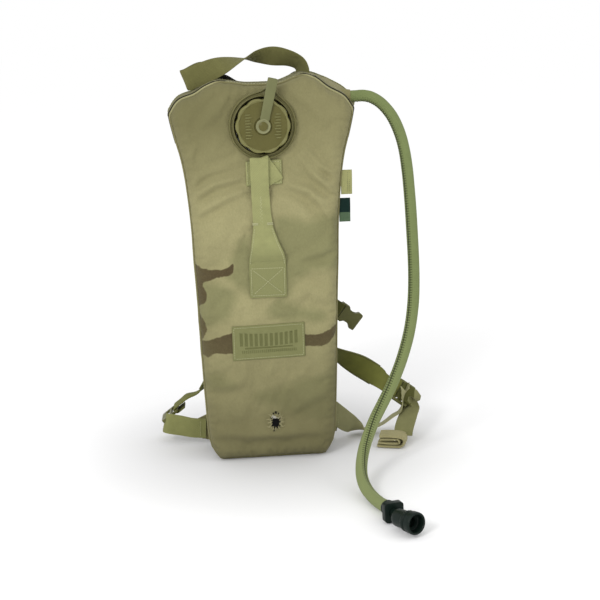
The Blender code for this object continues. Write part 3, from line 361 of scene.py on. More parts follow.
def hose_look(name):
    """A knitted sleeve: close ribs round the hose, a dark toothed seam, and painted light making it paler low
    down.
    """
    look = Look(name, 0.88, 0.06, 0.08)
    around, along, _ = look.parts(look.uv())
    place = look.place()
    rib = look.wave(along, 0.0022)
    knit = look.times(rib, look.wave(around, 0.0024))
    from_seam = look.math("ABSOLUTE", around)
    near = look.flip(look.ramp(from_seam, 0.0036, 0.0044))
    groove = look.flip(look.ramp(from_seam, 0.0004, 0.0009))
    tooth = look.ramp(look.wave(along, SEAM_PITCH), 0.1, 0.65)
    spots = look.ramp(look.noise(place, 60, 4, 0.6), 0.36, 0.72)
    colour = look.tint(HOSE, (0.122, 0.15, 0.054), spots, 0.35)
    # Painted light: the sleeve is painted paler low down, where it lies in the light.
    pale = look.flip(look.ramp(look.parts(place)[2], 0.03, 0.22))
    colour = look.tint(colour, (0.225, 0.256, 0.106), pale, 0.55)
    ticks = look.times(near, tooth)
    colour = look.tint(colour, (0.03, 0.04, 0.014), ticks, 0.8)
    colour = look.mix(groove, colour, (0.008, 0.011, 0.006))
    colour = look.tint(colour, (0.36, 0.4, 0.2), look.plus(knit, 1.0), 0.05)
    look.colour(colour)
    look.bump(rib, 0.00022, 0.6)
    look.bump(knit, 0.00015, 0.6)
    return look.material


def film_look(name):
    look = Look(name, 0.3, 0.0, 0.5)
    look.set("Transmission Weight", 0.35)
    place = look.place()
    look.colour(look.mix(look.noise(place, 30, 3), (0.55, 0.62, 0.66), (0.68, 0.74, 0.78)))
    look.bump(look.noise(place, 60, 4), 0.001, 0.5)
    return look.material


def foam_look(name, base):
    look = Look(name, 0.95, 0.0, 0.08)
    place = look.place()
    pores = look.noise(place, 800, 3, 0.7)
    look.colour(look.mix(pores, base, shade(base, 1.5, 0.01)))
    look.bump(pores, 0.0006, 0.7)
    return look.material


# ---- shapes ----

def read_table(table, value):
    if value <= table[0][0]:
        return table[0][1]
    for (low, first), (high, second) in zip(table, table[1:]):
        if value <= high:
            return first + (second - first) * (value - low) / (high - low)
    return table[-1][1]


def catmull(rows, steps):
    """A smooth curve through rows of numbers, steps points to each gap."""
    rows = [np.array(row, float) for row in rows]
    rows = [2 * rows[0] - rows[1]] + rows + [2 * rows[-1] - rows[-2]]
    found = []
    for a, b, c, d in zip(rows, rows[1:], rows[2:], rows[3:]):
        for step in range(steps):
            t = step / steps
            found.append(0.5 * (2 * b + (c - a) * t + (2 * a - 5 * b + 4 * c - d) * t * t
                                + (3 * b - 3 * c + d - a) * t ** 3))
    return found + [rows[-2]]


def evenly(points, spacing):
    """Points along a smooth curve, evenly spaced."""
    fine = np.array(catmull(points, 40))
    gone = np.concatenate([[0], np.cumsum(np.linalg.norm(np.diff(fine, axis=0), axis=1))])
    count = max(2, round(gone[-1] / spacing))
    want = np.linspace(0, gone[-1], count + 1)
    return [Vector([np.interp(w, gone, fine[:, k]) for k in range(3)]) for w in want]


def smooth(mesh, degrees=40):
    mesh.shade_smooth()
    mesh.set_sharp_from_angle(angle=math.radians(degrees))


def new_object(name, mesh, look=None):
    obj = bpy.data.objects.new(name, mesh)
    bpy.context.scene.collection.objects.link(obj)
    if look:
        mesh.materials.append(look)
    return obj


def made(name, form, look=None, degrees=60):
    """A new object from a bmesh, smooth but for edges sharper than the angle."""
    mesh = bpy.data.meshes.new(name)
    form.to_mesh(mesh)
    form.free()
    smooth(mesh, degrees)
    return new_object(name, mesh, look)


def finish_piece(obj, body, slot, *nodes):
    """The object moves with a body and stands for the CAD nodes; slot is not used."""
    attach(obj, body)
    if nodes:
        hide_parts(*nodes)
    return obj


def clamp(value):
    return min(max(value, 0.0), 1.0)


def bell(distance, width):
    return math.exp(-(distance / width) ** 2)


def grain(x, y, z):
    return noise.noise(Vector((x, y, z)))


def grid(name, columns, rows, point, look=None, wrap=False, flat=None):
    """A grid of quads: point(u, v) for u and v from 0 to 1. flat(u, v) gives its UV, in metres."""
    form = bmesh.new()
    layer = form.loops.layers.uv.new("flat")
    verts = [[form.verts.new(point(i / columns, j / rows)) for i in range(columns + (0 if wrap else 1))]
             for j in range(rows + 1)]
    for j in range(rows):
        for i in range(columns):
            after = (i + 1) % columns if wrap else i + 1
            face = form.faces.new((verts[j][i], verts[j][after], verts[j + 1][after], verts[j + 1][i]))
            spots = ((i, j), (i + 1, j), (i + 1, j + 1), (i, j + 1))
            for loop, (a, b) in zip(face.loops, spots):
                if flat:
                    loop[layer].uv = flat(a / columns, b / rows)
                else:
                    loop[layer].uv = (loop.vert.co.x, loop.vert.co.z)
    return made(name, form, look)


def apply_modifiers(obj):
    """Makes what the object's modifiers give its own mesh."""
    bpy.context.view_layer.update()
    graph = bpy.context.evaluated_depsgraph_get()
    mesh = bpy.data.meshes.new_from_object(obj.evaluated_get(graph), preserve_all_data_layers=True,
                                           depsgraph=graph)
    obj.modifiers.clear()
    obj.data = mesh
    return obj


def thicken(obj, thickness, offset=-1.0):
    modifier = obj.modifiers.new("Thickness", "SOLIDIFY")
    modifier.thickness = thickness
    modifier.offset = offset
    return apply_modifiers(obj)


def band(name, rows, thickness, look, steps, columns):
    """A strap with rounded edges: rows of (centre, direction across, width[, extra thickness])."""
    table = [(*centre, *Vector(across).normalized(), width, rest[0] if rest else 0.0)
             for centre, across, width, *rest in rows]
    fine = catmull(table, steps)
    form = bmesh.new()
    layer = form.loops.layers.uv.new("flat")
    rings, lengths, gone = [], [], 0.0
    section = [(-1.0 + 2.0 * i / columns) for i in range(columns + 1)]
    for index, row in enumerate(fine):
        before = Vector(fine[max(index - 1, 0)][:3])
        after = Vector(fine[min(index + 1, len(fine) - 1)][:3])
        travel = (after - before).normalized()
        centre, across, width, extra = Vector(row[:3]), Vector(row[3:6]), row[6], row[7]
        across = (across - travel * across.dot(travel)).normalized()
        normal = travel.cross(across)
        if index:
            gone += (centre - Vector(fine[index - 1][:3])).length
        half = thickness / 2
        ring = []
        for side, order in ((1, section), (-1, list(reversed(section)))):
            for u in order:
                tight = 0.45 if abs(u) == 1 else 1.0
                reach = u * width / 2
                if abs(u) < 1:
                    reach *= 1.0 - 0.25 * half / (width / 2)
                swell = (1 - u * u) * extra if side > 0 else 0.0
                lift = normal * (side * half * tight + swell)
                ring.append((form.verts.new(centre + across * reach + lift), u * width / 2))
        rings.append(ring)
        lengths.append(gone)
    count = len(rings[0])
    for j in range(len(rings) - 1):
        for i in range(count):
            after = (i + 1) % count
            corners = ((rings[j][i], j), (rings[j][after], j), (rings[j + 1][after], j + 1),
                       (rings[j + 1][i], j + 1))
            face = form.faces.new([corner[0][0] for corner in corners])
            for loop, (corner, row) in zip(face.loops, corners):
                loop[layer].uv = (corner[1], lengths[row])
    form.faces.new([vert for vert, _ in reversed(rings[0])])
    form.faces.new([vert for vert, _ in rings[-1]])
    bmesh.ops.recalc_face_normals(form, faces=form.faces)
    return made(name, form, look, 50)


def lathe(name, profile, matrix, look, segments=64, wobble=None):
    """A piece turned about local Z: rows of (radius, height). wobble() changes the radius."""
    form = bmesh.new()
    layer = form.loops.layers.uv.new("flat")
    rings, travel = [], 0.0
    for index, (radius, height) in enumerate(profile):
        if index:
            travel += math.hypot(radius - profile[index - 1][0], height - profile[index - 1][1])
        if radius < 1e-7:
            rings.append(([form.verts.new(matrix @ Vector((0, 0, height)))], travel))
            continue
        ring = []
        for k in range(segments):
            angle = 2 * math.pi * k / segments
            r = wobble(angle, radius, height) if wobble else radius
            ring.append(form.verts.new(matrix @ Vector((r * math.cos(angle), r * math.sin(angle), height))))
        rings.append((ring, travel))
    for (first, v0), (second, v1) in zip(rings, rings[1:]):
        for k in range(segments):
            after = (k + 1) % segments
            ends = [first[k % len(first)], first[after % len(first)], second[after % len(second)],
                    second[k % len(second)]]
            kept = [v for i, v in enumerate(ends) if v not in ends[:i]]
            if len(kept) < 3:
                continue
            face = form.faces.new(kept)
            for loop in face.loops:
                loop[layer].uv = (0.01 * k / segments, v0 if loop.vert in first else v1)
    bmesh.ops.recalc_face_normals(form, faces=form.faces)
    return made(name, form, look, 35)


def tube(name, points, radius, look, sides=10, radii=None):
    """A closed tube through points, carried on without twisting."""
    form = bmesh.new()
    add_tube(form, points, radius, sides, radii)
    return made(name, form, look)


def add_tube(form, points, radius, sides=6, radii=None):
    points = [Vector(point) for point in points]
    travel = (points[1] - points[0]).normalized()
    side = travel.orthogonal().normalized()
    rings = []
    for index, point in enumerate(points):
        ahead = (points[min(index + 1, len(points) - 1)] - points[max(index - 1, 0)]).normalized()
        side = (side - ahead * side.dot(ahead)).normalized()
        other = ahead.cross(side)
        r = radii[index] if radii else radius
        rings.append([form.verts.new(point + (side * math.cos(a) + other * math.sin(a)) * r)
                      for a in (2 * math.pi * k / sides for k in range(sides))])
    for first, second in zip(rings, rings[1:]):
        for k in range(sides):
            after = (k + 1) % sides
            form.faces.new((first[k], first[after], second[after], second[k]))
    form.faces.new(list(reversed(rings[0])))
    form.faces.new(rings[-1])


def along_path(points, pitch, start):
    """(place, direction) at each pitch along a polyline."""
    points = [Vector(point) for point in points]
    found, want, gone = [], start, 0.0
    for a, b in zip(points, points[1:]):
        length = (b - a).length
        while length > 1e-9 and want <= gone + length:
            found.append((a.lerp(b, (want - gone) / length), (b - a) / length))
            want += pitch
        gone += length
    return found


def stitches(name, paths, look, pitch=0.0034, length=0.0024, radius=0.00036):
    """Thread: a short capsule at each pitch along each path."""
    form = bmesh.new()
    for path in paths:
        for place, travel in along_path(path, pitch, pitch / 2):
            ends = [place + travel * length * t for t in (-0.5, -0.3, 0.0, 0.3, 0.5)]
            add_tube(form, ends, radius, 5, [radius * k for k in (0.35, 0.85, 1.0, 0.85, 0.35)])
    return made(name, form, look, 80)


def sew(slot, *sizes):
    """Stitching on the pack itself: a slot, which is not used, then what stitches() takes."""
    return finish_piece(stitches(*sizes), "pack", slot)


def refined(node, look, width, slot, segments):
    """A hard CAD piece with its edges rounded."""
    mesh = frame["nodes"][node].data.copy()
    form = bmesh.new()
    form.from_mesh(mesh)
    bmesh.ops.remove_doubles(form, verts=form.verts, dist=0.000002)
    bmesh.ops.dissolve_limit(form, angle_limit=math.radians(2.0), verts=form.verts, edges=form.edges)
    form.to_mesh(mesh)
    form.free()
    mesh.materials.clear()
    obj = new_object(node + "_fine", mesh, look)
    bevel = obj.modifiers.new("Edges", "BEVEL")
    bevel.width = width
    bevel.segments = segments
    bevel.limit_method = "ANGLE"
    bevel.angle_limit = math.radians(25)
    bevel.use_clamp_overlap = True
    apply_modifiers(obj)
    smooth(obj.data, 40)
    return finish_piece(obj, BODY_OF[node], slot, node)


def frame_matrix(origin, x_axis, z_axis):
    z = Vector(z_axis).normalized()
    x = Vector(x_axis)
    x = (x - z * x.dot(z)).normalized()
    matrix = Matrix((x, z.cross(x), z)).transposed().to_4x4()
    matrix.translation = Vector(origin)
    return matrix


# ---- the outline and the cloth shell ----

def fine_table(rows):
    table = np.array(catmull(rows, 10))
    return table[:, 0], table[:, 1]


FINE_SIDE, FINE_BOTTOM, FINE_TOP = fine_table(SIDE), fine_table(BOTTOM), fine_table(TOP)


def top_edge(x):
    sag = 0.006 * max(0.0, math.cos(min(abs(x + 0.06) / 0.036, 1.0) * math.pi / 2)) ** 1.5
    return float(np.interp(min(abs(x), TOP[-1][0]), *FINE_TOP)) - sag


def outline_point(u, s, inset=0.0):
    low, high = SIDE[0][0], SIDE[-1][0]
    half = float(np.interp(low + (high - low) * s, *FINE_SIDE))
    bottom = max(0.0, float(np.interp(abs(u) * SIDE[0][1], *FINE_BOTTOM))) + inset
    top = top_edge(u * SIDE[-1][1]) - inset
    return u * (half - inset), bottom + (top - bottom) * s


def edge_distances(u, s, inset):
    x, z = outline_point(u, s, inset)
    low, high = outline_point(u, 0.0, inset)[1], outline_point(u, 1.0, inset)[1]
    return outline_point(1.0, s, inset)[0] - abs(x), z - low, high - z


def edge_factor(u, s, inset, roll):
    product = 1.0
    for distance in edge_distances(u, s, inset):
        near = clamp(distance / roll)
        product *= math.sqrt(1.0 - (1.0 - near) ** 2)
    return product


def crown(x, z):
    up = clamp((z - 0.04) / 0.08) * clamp((0.365 - z) / 0.08)
    return FRONT_CROWN * up * max(0.0, 1.0 - (x / 0.088) ** 2)


def front_y(x, z):
    return FRONT_SEAM_Y - FRONT_RISE - crown(x, z)


# Folds pulled into the cloth by the port strap and the seams: (x, z) points, height and half width.
FOLDS = (
    (((-0.088, 0.333), (-0.058, 0.35), (-0.024, 0.357)), 0.0021, 0.006),
    (((-0.088, 0.312), (-0.051, 0.331), (-0.021, 0.344)), 0.0018, 0.0065),
    (((-0.09, 0.351), (-0.07, 0.362), (-0.045, 0.368)), 0.0009, 0.006),
    (((0.047, 0.39), (0.065, 0.368), (0.088, 0.352)), 0.0018, 0.005),
    (((0.042, 0.381), (0.067, 0.35), (0.088, 0.33)), 0.0022, 0.0055),
    (((0.023, 0.35), (0.056, 0.335), (0.088, 0.309)), 0.0022, 0.0065),
    (((0.058, 0.328), (0.077, 0.303), (0.088, 0.284)), 0.0017, 0.0055),
    (((0.024, 0.332), (0.044, 0.312), (0.06, 0.285)), 0.001, 0.007),
    (((-0.026, 0.33), (-0.05, 0.3), (-0.07, 0.262)), 0.001, 0.0085),
    (((-0.092, 0.368), (-0.086, 0.385), (-0.08, 0.394)), 0.0013, 0.0045),
    (((0.088, 0.411), (0.094, 0.396), (0.096, 0.382)), 0.0013, 0.0045),
    (((0.088, 0.263), (0.07, 0.253), (0.048, 0.25)), -0.0018, 0.0065),
    (((-0.08, 0.106), (-0.06, 0.1), (-0.03, 0.104)), 0.0013, 0.008),
    (((0.08, 0.2), (0.05, 0.214), (0.026, 0.205)), 0.0012, 0.009),
    (((0.076, 0.09), (0.05, 0.08), (0.024, 0.062)), 0.0011, 0.008),
    (((-0.07, 0.04), (-0.03, 0.034), (0.06, 0.036)), 0.0012, 0.008),
    (((-0.03, 0.455), (-0.052, 0.44), (-0.07, 0.415)), 0.001, 0.007),
    (((0.034, 0.455), (0.055, 0.442), (0.074, 0.418)), 0.0012, 0.007),
)


def near_line(x, z, points):
    """(distance, share of the way along) of the nearest place on a short polyline."""
    best, gone = (1.0, 0.0), 0.0
    total = sum(math.dist(a, b) for a, b in zip(points, points[1:]))
    for a, b in zip(points, points[1:]):
        length = math.dist(a, b)
        t = ((x - a[0]) * (b[0] - a[0]) + (z - a[1]) * (b[1] - a[1])) / length ** 2
        t = clamp(t)
        d = math.dist((x, z), (a[0] + (b[0] - a[0]) * t, a[1] + (b[1] - a[1]) * t))
        if d < best[0]:
            best = (d, (gone + t * length) / total)
        gone += length
    return best


# How far the right shoulder's cloth flares out behind the front seam, by the angle about a point inside it.
FLARE = ((-22, 0.0), (0, 0.003), (19, 0.0076), (28, 0.012), (44, 0.0108), (63, 0.0105), (77, 0.0052),
         (90, 0.0022), (100, 0.0))


def flared(x, z, share):
    """An outline point moved out at the shoulders; share is 0 at the front seam and 1 at the back."""
    dx, dz = abs(x) - 0.05, z - 0.4
    amount = read_table(FLARE, math.degrees(math.atan2(dz, dx))) * share * (1.0 if x > 0 else 0.2)
    size = math.hypot(dx, dz) or 1.0
    return x + math.copysign(dx / size * amount, x) if dx > 0 else x, z + dz / size * amount


def folds(x, z):
    total = 0.0
    for points, height, width in FOLDS:
        d, share = near_line(x, z, points)
        if d < 3 * width:
            ridge = bell(d, width) - 0.45 * bell(d - 1.5 * width, width)
            total += height * ridge * math.sin(math.pi * (0.15 + 0.75 * share)) ** 0.7
    return total


def inside_shape(points, x, z):
    """Signed distance to a closed, smoothed outline, positive inside; x and z are arrays."""
    loop = np.array(catmull([points[-1], *points, points[0], points[1]], 5)[5:-5])
    a, b = loop, np.roll(loop, -1, axis=0)
    best = np.full(len(x), 1.0)
    inside = np.zeros(len(x), bool)
    for (ax, az), (bx, bz) in zip(a, b):
        dx, dz = bx - ax, bz - az
        size = dx * dx + dz * dz
        if size < 1e-12:
            continue
        t = np.clip(((x - ax) * dx + (z - az) * dz) / size, 0, 1)
        best = np.minimum(best, np.hypot(x - ax - t * dx, z - az - t * dz))
        if az != bz:
            crosses = ((az > z) != (bz > z)) & (x < dx * (z - az) / dz + ax)
            inside ^= crosses
    return np.where(inside, best, -best)


# The printed pattern on the front: brown branches with crisp edges, and soft green clouds.
BROWN_SHAPES = (
    ((-0.1, 0.247), (-0.073, 0.2465), (-0.054, 0.246), (-0.047, 0.248), (-0.041, 0.252), (-0.043, 0.24),
     (-0.058, 0.237), (-0.069, 0.234), (-0.077, 0.231), (-0.079, 0.227), (-0.077, 0.223), (-0.0745, 0.217),
     (-0.0745, 0.212), (-0.077, 0.206), (-0.083, 0.202), (-0.0855, 0.197), (-0.085, 0.192), (-0.081, 0.186),
     (-0.078, 0.18), (-0.0765, 0.173), (-0.078, 0.167), (-0.08, 0.162), (-0.082, 0.157), (-0.069, 0.16),
     (-0.058, 0.163), (-0.04, 0.166), (-0.04, 0.143), (-0.059, 0.141), (-0.07, 0.141), (-0.076, 0.136),
     (-0.081, 0.139), (-0.1, 0.141)),
    ((0.036, 0.1605), (0.055, 0.1595), (0.065, 0.161), (0.072, 0.164), (0.078, 0.167), (0.092, 0.176),
     (0.089, 0.166), (0.083, 0.16), (0.078, 0.154), (0.072, 0.148), (0.064, 0.1445), (0.055, 0.145),
     (0.036, 0.148)),
)
GREEN_SHAPES = (
    ((-0.033, 0.28), (-0.02, 0.278), (-0.018, 0.22), (-0.035, 0.222), (-0.048, 0.235), (-0.045, 0.243),
     (-0.042, 0.25), (-0.044, 0.258), (-0.038, 0.27)),
    ((0.01, 0.302), (0.012, 0.212), (0.024, 0.212), (0.031, 0.226), (0.042, 0.234), (0.066, 0.24),
     (0.096, 0.243), (0.096, 0.306), (0.05, 0.3)),
    ((-0.002, 0.19), (0.005, 0.201), (0.015, 0.21), (0.024, 0.201), (0.041, 0.196), (0.06, 0.191),
     (0.07, 0.182), (0.059, 0.175), (0.041, 0.179), (0.014, 0.177)),
    ((-0.026, 0.081), (-0.01, 0.091), (0.019, 0.095), (0.038, 0.104), (0.067, 0.107), (0.077, 0.118),
     (0.096, 0.124), (0.096, 0.055), (0.056, 0.051), (0.018, 0.059), (0.011, 0.068), (-0.004, 0.074)),
    ((-0.09, 0.23), (-0.06, 0.228), (-0.04, 0.215), (-0.048, 0.19), (-0.062, 0.178), (-0.09, 0.176)),
    ((-0.096, 0.099), (-0.078, 0.116), (-0.069, 0.117), (-0.056, 0.11), (-0.045, 0.101), (-0.057, 0.094)),
)


def paint_pattern(obj, front):
    """Stores how far inside the brown and green shapes each point lies."""
    count = len(obj.data.vertices)
    co = np.zeros(count * 3)
    obj.data.vertices.foreach_get("co", co)
    co = co.reshape(-1, 3)
    found = {}
    for name, shapes in (("brown", BROWN_SHAPES), ("green", GREEN_SHAPES)):
        if front:
            value = np.max([inside_shape(shape, co[:, 0], co[:, 2]) for shape in shapes], axis=0)
        else:
            shift, level = ((7.0, 3.0, 1.0), 0.22) if name == "brown" else ((2.0, 9.0, 4.0), 0.02)
            value = np.array([(noise.noise(Vector((x * 16, y * 10, z * 20)) + Vector(shift)) - level) * 0.05
                              for x, y, z in co])
        found[name] = value
    # rim: how near each point lies to the panel's edge, or on the gusset to its seams, for the painted shade
    # there.
    if front:
        found["rim"] = np.exp(-np.maximum(inside_shape(outline_loop(0.0, 20), co[:, 0], co[:, 2]), 0.0)
                              / 0.012)
    else:
        found["rim"] = np.exp(-np.minimum(co[:, 1] - FRONT_SEAM_Y, BACK_SEAM_Y - co[:, 1]).clip(0.0) / 0.006)
    for name, value in found.items():
        layer = obj.data.attributes.new(name, "FLOAT", "POINT")
        layer.data.foreach_set("value", value.astype(np.float32))


def settle(obj, pinned, grow, pressure, cap, frames=18):
    """Cloth simulation: the cloth is cut a little too large for its seams, so it buckles between them."""
    rest = [vert.co.copy() for vert in obj.data.vertices]
    group = obj.vertex_groups.new(name="pinned")
    group.add([i for i, co in enumerate(rest) if pinned(co)], 1.0, "REPLACE")
    modifier = obj.modifiers.new("Cloth", "CLOTH")
    cloth = modifier.settings
    cloth.quality = 5
    cloth.mass = 0.2
    cloth.tension_stiffness = 25
    cloth.compression_stiffness = 25
    cloth.shear_stiffness = 12
    cloth.bending_stiffness = 4.0
    cloth.air_damping = 4
    cloth.shrink_min = -grow
    cloth.vertex_group_mass = "pinned"
    cloth.use_pressure = True
    cloth.uniform_pressure_force = pressure
    cloth.effector_weights.gravity = 0.0
    modifier.collision_settings.use_collision = False
    modifier.point_cache.frame_start = 1
    modifier.point_cache.frame_end = frames
    scene = bpy.context.scene
    for number in range(1, frames + 1):
        scene.frame_set(number)
    found = obj.evaluated_get(bpy.context.evaluated_depsgraph_get()).data
    moved = [vert.co.copy() for vert in found.vertices]
    obj.modifiers.clear()
    obj.vertex_groups.clear()
    scene.frame_set(1)
    for vert, start, end in zip(obj.data.vertices, rest, moved):
        move = end - start
        vert.co = start + (move * (cap / move.length) if move.length > cap else move)


def cut(obj, signed, near):
    """Cuts a shape out, its nearest points moved onto its edge. signed(co) is negative inside."""
    form = bmesh.new()
    form.from_mesh(obj.data)
    step = 0.0002
    for vert in form.verts:
        d = signed(vert.co)
        if abs(d) < near:
            slope = Vector((signed(vert.co + Vector((step, 0, 0))) - d, 0.0,
                            signed(vert.co + Vector((0, 0, step))) - d))
            if slope.length > 1e-9:
                vert.co -= slope.normalized() * d
    gone = [face for face in form.faces if signed(face.calc_center_median()) < 0]
    bmesh.ops.delete(form, geom=gone, context="FACES")
    form.to_mesh(obj.data)
    form.free()


def tear_edge(co):
    """Signed distance to the ragged edge of the torn hole, negative inside."""
    x, z = co.x - TEAR.x, co.z - TEAR.z
    angle = math.atan2(z, x)
    reach = 0.008 + 0.0014 * math.sin(3 * angle + 0.6) + 0.0011 * math.sin(7 * angle + 2.0)
    reach *= 0.72 + 0.38 * abs(math.sin(angle))
    return math.hypot(x, z) - reach


def port_edge(co):
    return math.hypot(co.x - PORT.x, co.z - PORT.z) - 0.0366


def face_along(obj, direction):
    """Turns an open sheet's faces so that they look along direction(face)."""
    if sum(face.normal.dot(direction(face)) for face in obj.data.polygons) < 0:
        obj.data.flip_normals()


def add_front(looks):
    inset = CLOTH_INSET
    mounts = ((-0.024, 0.024, 0.207, 0.256), (-0.022, 0.022, 0.345, 0.377), (-0.047, 0.044, 0.131, 0.178))
    plain = []

    def point(u, v):
        u = 2 * u - 1
        x, z = outline_point(u, v, inset)
        side, low, high = edge_distances(u, v, inset)
        edge = min(side, low, high)
        rise = edge_factor(u, v, inset, EDGE_ROLL)
        y = FRONT_SEAM_Y - (FRONT_RISE + crown(x, z)) * rise
        plain.append(y)
        port = math.hypot(x - PORT.x, z - PORT.z)
        free = clamp((edge - 0.002) / 0.014) * clamp((port - 0.04) / 0.012)
        for x0, x1, z0, z1 in mounts:
            off = max(x0 - x, x - x1, z0 - z, z - z1)
            free = min(free, min(max((off + 0.004) / 0.01, 0.12), 1.0))
        y -= 2.2 * folds(x, z) * free
        y -= 0.0016 * grain(x * 17, 3.0, z * 15) * free
        y -= 0.0005 * grain(x * 60, 8.0, z * 48) * free
        pucker = math.sin((z if side < min(low, high) else x) * 2 * math.pi / 0.0105
                          + 2.5 * grain(x * 40, 1.0, z * 40))
        y -= 0.00045 * pucker * bell(edge - 0.006, 0.006)
        tear = math.hypot((x - TEAR.x) * 1.1, z - TEAR.z)
        y += 0.0012 * bell(tear, 0.012) - 0.0012 * bell(tear - 0.0075, 0.0028)
        return Vector((x, y, z))

    columns, rows = 120, 260
    cloth = grid("front_cloth", columns, rows, point)
    seam = {tuple(vert.co) for index, vert in enumerate(cloth.data.vertices)
            if index % (columns + 1) in (0, columns) or index // (columns + 1) in (0, rows)}

    def pinned(co):
        if tuple(co) in seam:
            return True
        if math.hypot(co.x - PORT.x, co.z - PORT.z) < 0.042:
            return True
        return any(x0 < co.x < x1 and z0 < co.z < z1 for x0, x1, z0, z1 in mounts)

    settle(cloth, pinned, grow=0.012, pressure=0.15, cap=0.0022)
    for vert, y in zip(cloth.data.vertices, plain):
        vert.co.y = min(max(vert.co.y, -0.053), FRONT_SEAM_Y + 0.0003, y + 0.0024)
    cut(cloth, port_edge, 0.0006)
    cut(cloth, tear_edge, 0.0005)
    paint_pattern(cloth, True)
    cloth.data.materials.append(looks["front"])
    face_along(cloth, lambda face: FRONTWARD)
    thicken(cloth, CLOTH_THICK)
    smooth(cloth.data, 60)
    finish_piece(cloth, "pack", "tan_cloth", "front_panel")


def outline_loop(inset, count=40):
    """The outline as a closed list of (x, z)."""
    across = [2 * i / (2 * count) - 1 for i in range(2 * count + 1)]
    up = [i / (3 * count) for i in range(3 * count + 1)]
    loop = [outline_point(u, 0.0, inset) for u in across]
    loop += [outline_point(1.0, s, inset) for s in up[1:]]
    loop += [outline_point(u, 1.0, inset) for u in reversed(across[:-1])]
    loop += [outline_point(-1.0, s, inset) for s in reversed(up[1:-1])]
    return loop


def even_loop(points, spacing):
    points = points + [points[0]]
    gone = np.concatenate([[0], np.cumsum([math.dist(a, b) for a, b in zip(points, points[1:])])])
    count = round(gone[-1] / spacing)
    want = np.linspace(0, gone[-1], count, endpoint=False)
    table = np.array(points)
    return [(float(np.interp(w, gone, table[:, 0])), float(np.interp(w, gone, table[:, 1])))
            for w in want], gone[-1]


def add_gusset(looks):
    loop, length = even_loop(outline_loop(0.0006), 0.003)
    count = len(loop)
    low_y, high_y = FRONT_SEAM_Y + 0.0004, BACK_SEAM_Y + 0.0004
    normals = []
    for index in range(count):
        a, b = loop[index - 2], loop[(index + 2) % count]
        travel = Vector((b[0] - a[0], b[1] - a[1])).normalized()
        normals.append((travel.y, -travel.x))

    def point(u, v):
        index = round(u * count) % count
        (x, z), (nx, nz) = loop[index], normals[index]
        y = low_y + (high_y - low_y) * v
        swell = math.sin(math.pi * v) ** 0.8
        out = 0.0011 * swell + 0.0012 * swell * grain(x * 30, y * 30, z * 30)
        out += 0.0004 * math.sin(index * 0.003 * 2 * math.pi / 0.011 + y * 90) * (1 - swell)
        if nz < -0.5:
            out = -0.0003 * swell
        exit_near = math.dist((x, z), (0.104, 0.443))
        out *= clamp((exit_near - 0.008) / 0.02)
        x, z = flared(x, z, v)
        return Vector((x + nx * out, y, max(0.0002, z + nz * out)))

    gusset = grid("gusset_cloth", count, 22, point, wrap=True, flat=lambda u, v: (u * length, v * 0.06))
    paint_pattern(gusset, False)
    gusset.data.materials.append(looks["side"])
    middle = Vector((0.0, 0.0, 0.22))
    face_along(gusset, lambda face: (face.center - middle) * face.area)
    thicken(gusset, CLOTH_THICK)
    finish_piece(gusset, "pack", "tan_cloth", "gusset")
    for name, y, node in (("front_piping", FRONT_SEAM_Y - 0.0008, "front_welt"),
                          ("back_piping", BACK_SEAM_Y + 0.0012, "back_welt")):
        ring, _ = even_loop(outline_loop(0.0009), 0.004)
        ring = [flared(x, z, 0.0 if y < 0 else 1.0) for x, z in ring]
        piping = tube(name, [(x, y, max(z, 0.0014)) for x, z in ring + ring[:1]], 0.00135,
                      looks["piping" if y < 0 else "binding"], 10)
        finish_piece(piping, "pack", "tan_cloth", node)
    # Painted shade: a dark tube along each upper shoulder seam stands for the shade in the seam's groove.
    grooves = []
    for side in (-1, 1):
        path = [(x, z) for x, z in outline_loop(-0.0006) if side * x > 0.04 and z > 0.395]
        path = [(*flared(x, z, 0.06), FRONT_SEAM_Y + 0.0022) for x, z in sorted(path, key=lambda p: -p[1])]
        path = evenly([(x, y, z) for x, z, y in path], 0.002)
        grooves.append(tube("groove", path, 0.0008, looks["groove"], 6))
    finish_piece(joined("shoulder_seam_groove", grooves), "pack", "tan_cloth")
    for name, y in (("gusset_stitching_front", FRONT_SEAM_Y + 0.0052),
                    ("gusset_stitching_back", BACK_SEAM_Y - 0.0045)):
        ring, _ = even_loop(outline_loop(-0.0004), 0.004)
        share = (y - FRONT_SEAM_Y) / (BACK_SEAM_Y - FRONT_SEAM_Y)
        kept = [(x, y, z) for x, z in (flared(x, z, share) for x, z in ring) if z > 0.03]
        start = max(range(len(kept)), key=lambda i: math.dist(kept[i], kept[i - 1]))
        kept = kept[start:] + kept[:start]
        sew("tan_cloth", name, [kept], looks["thread"])


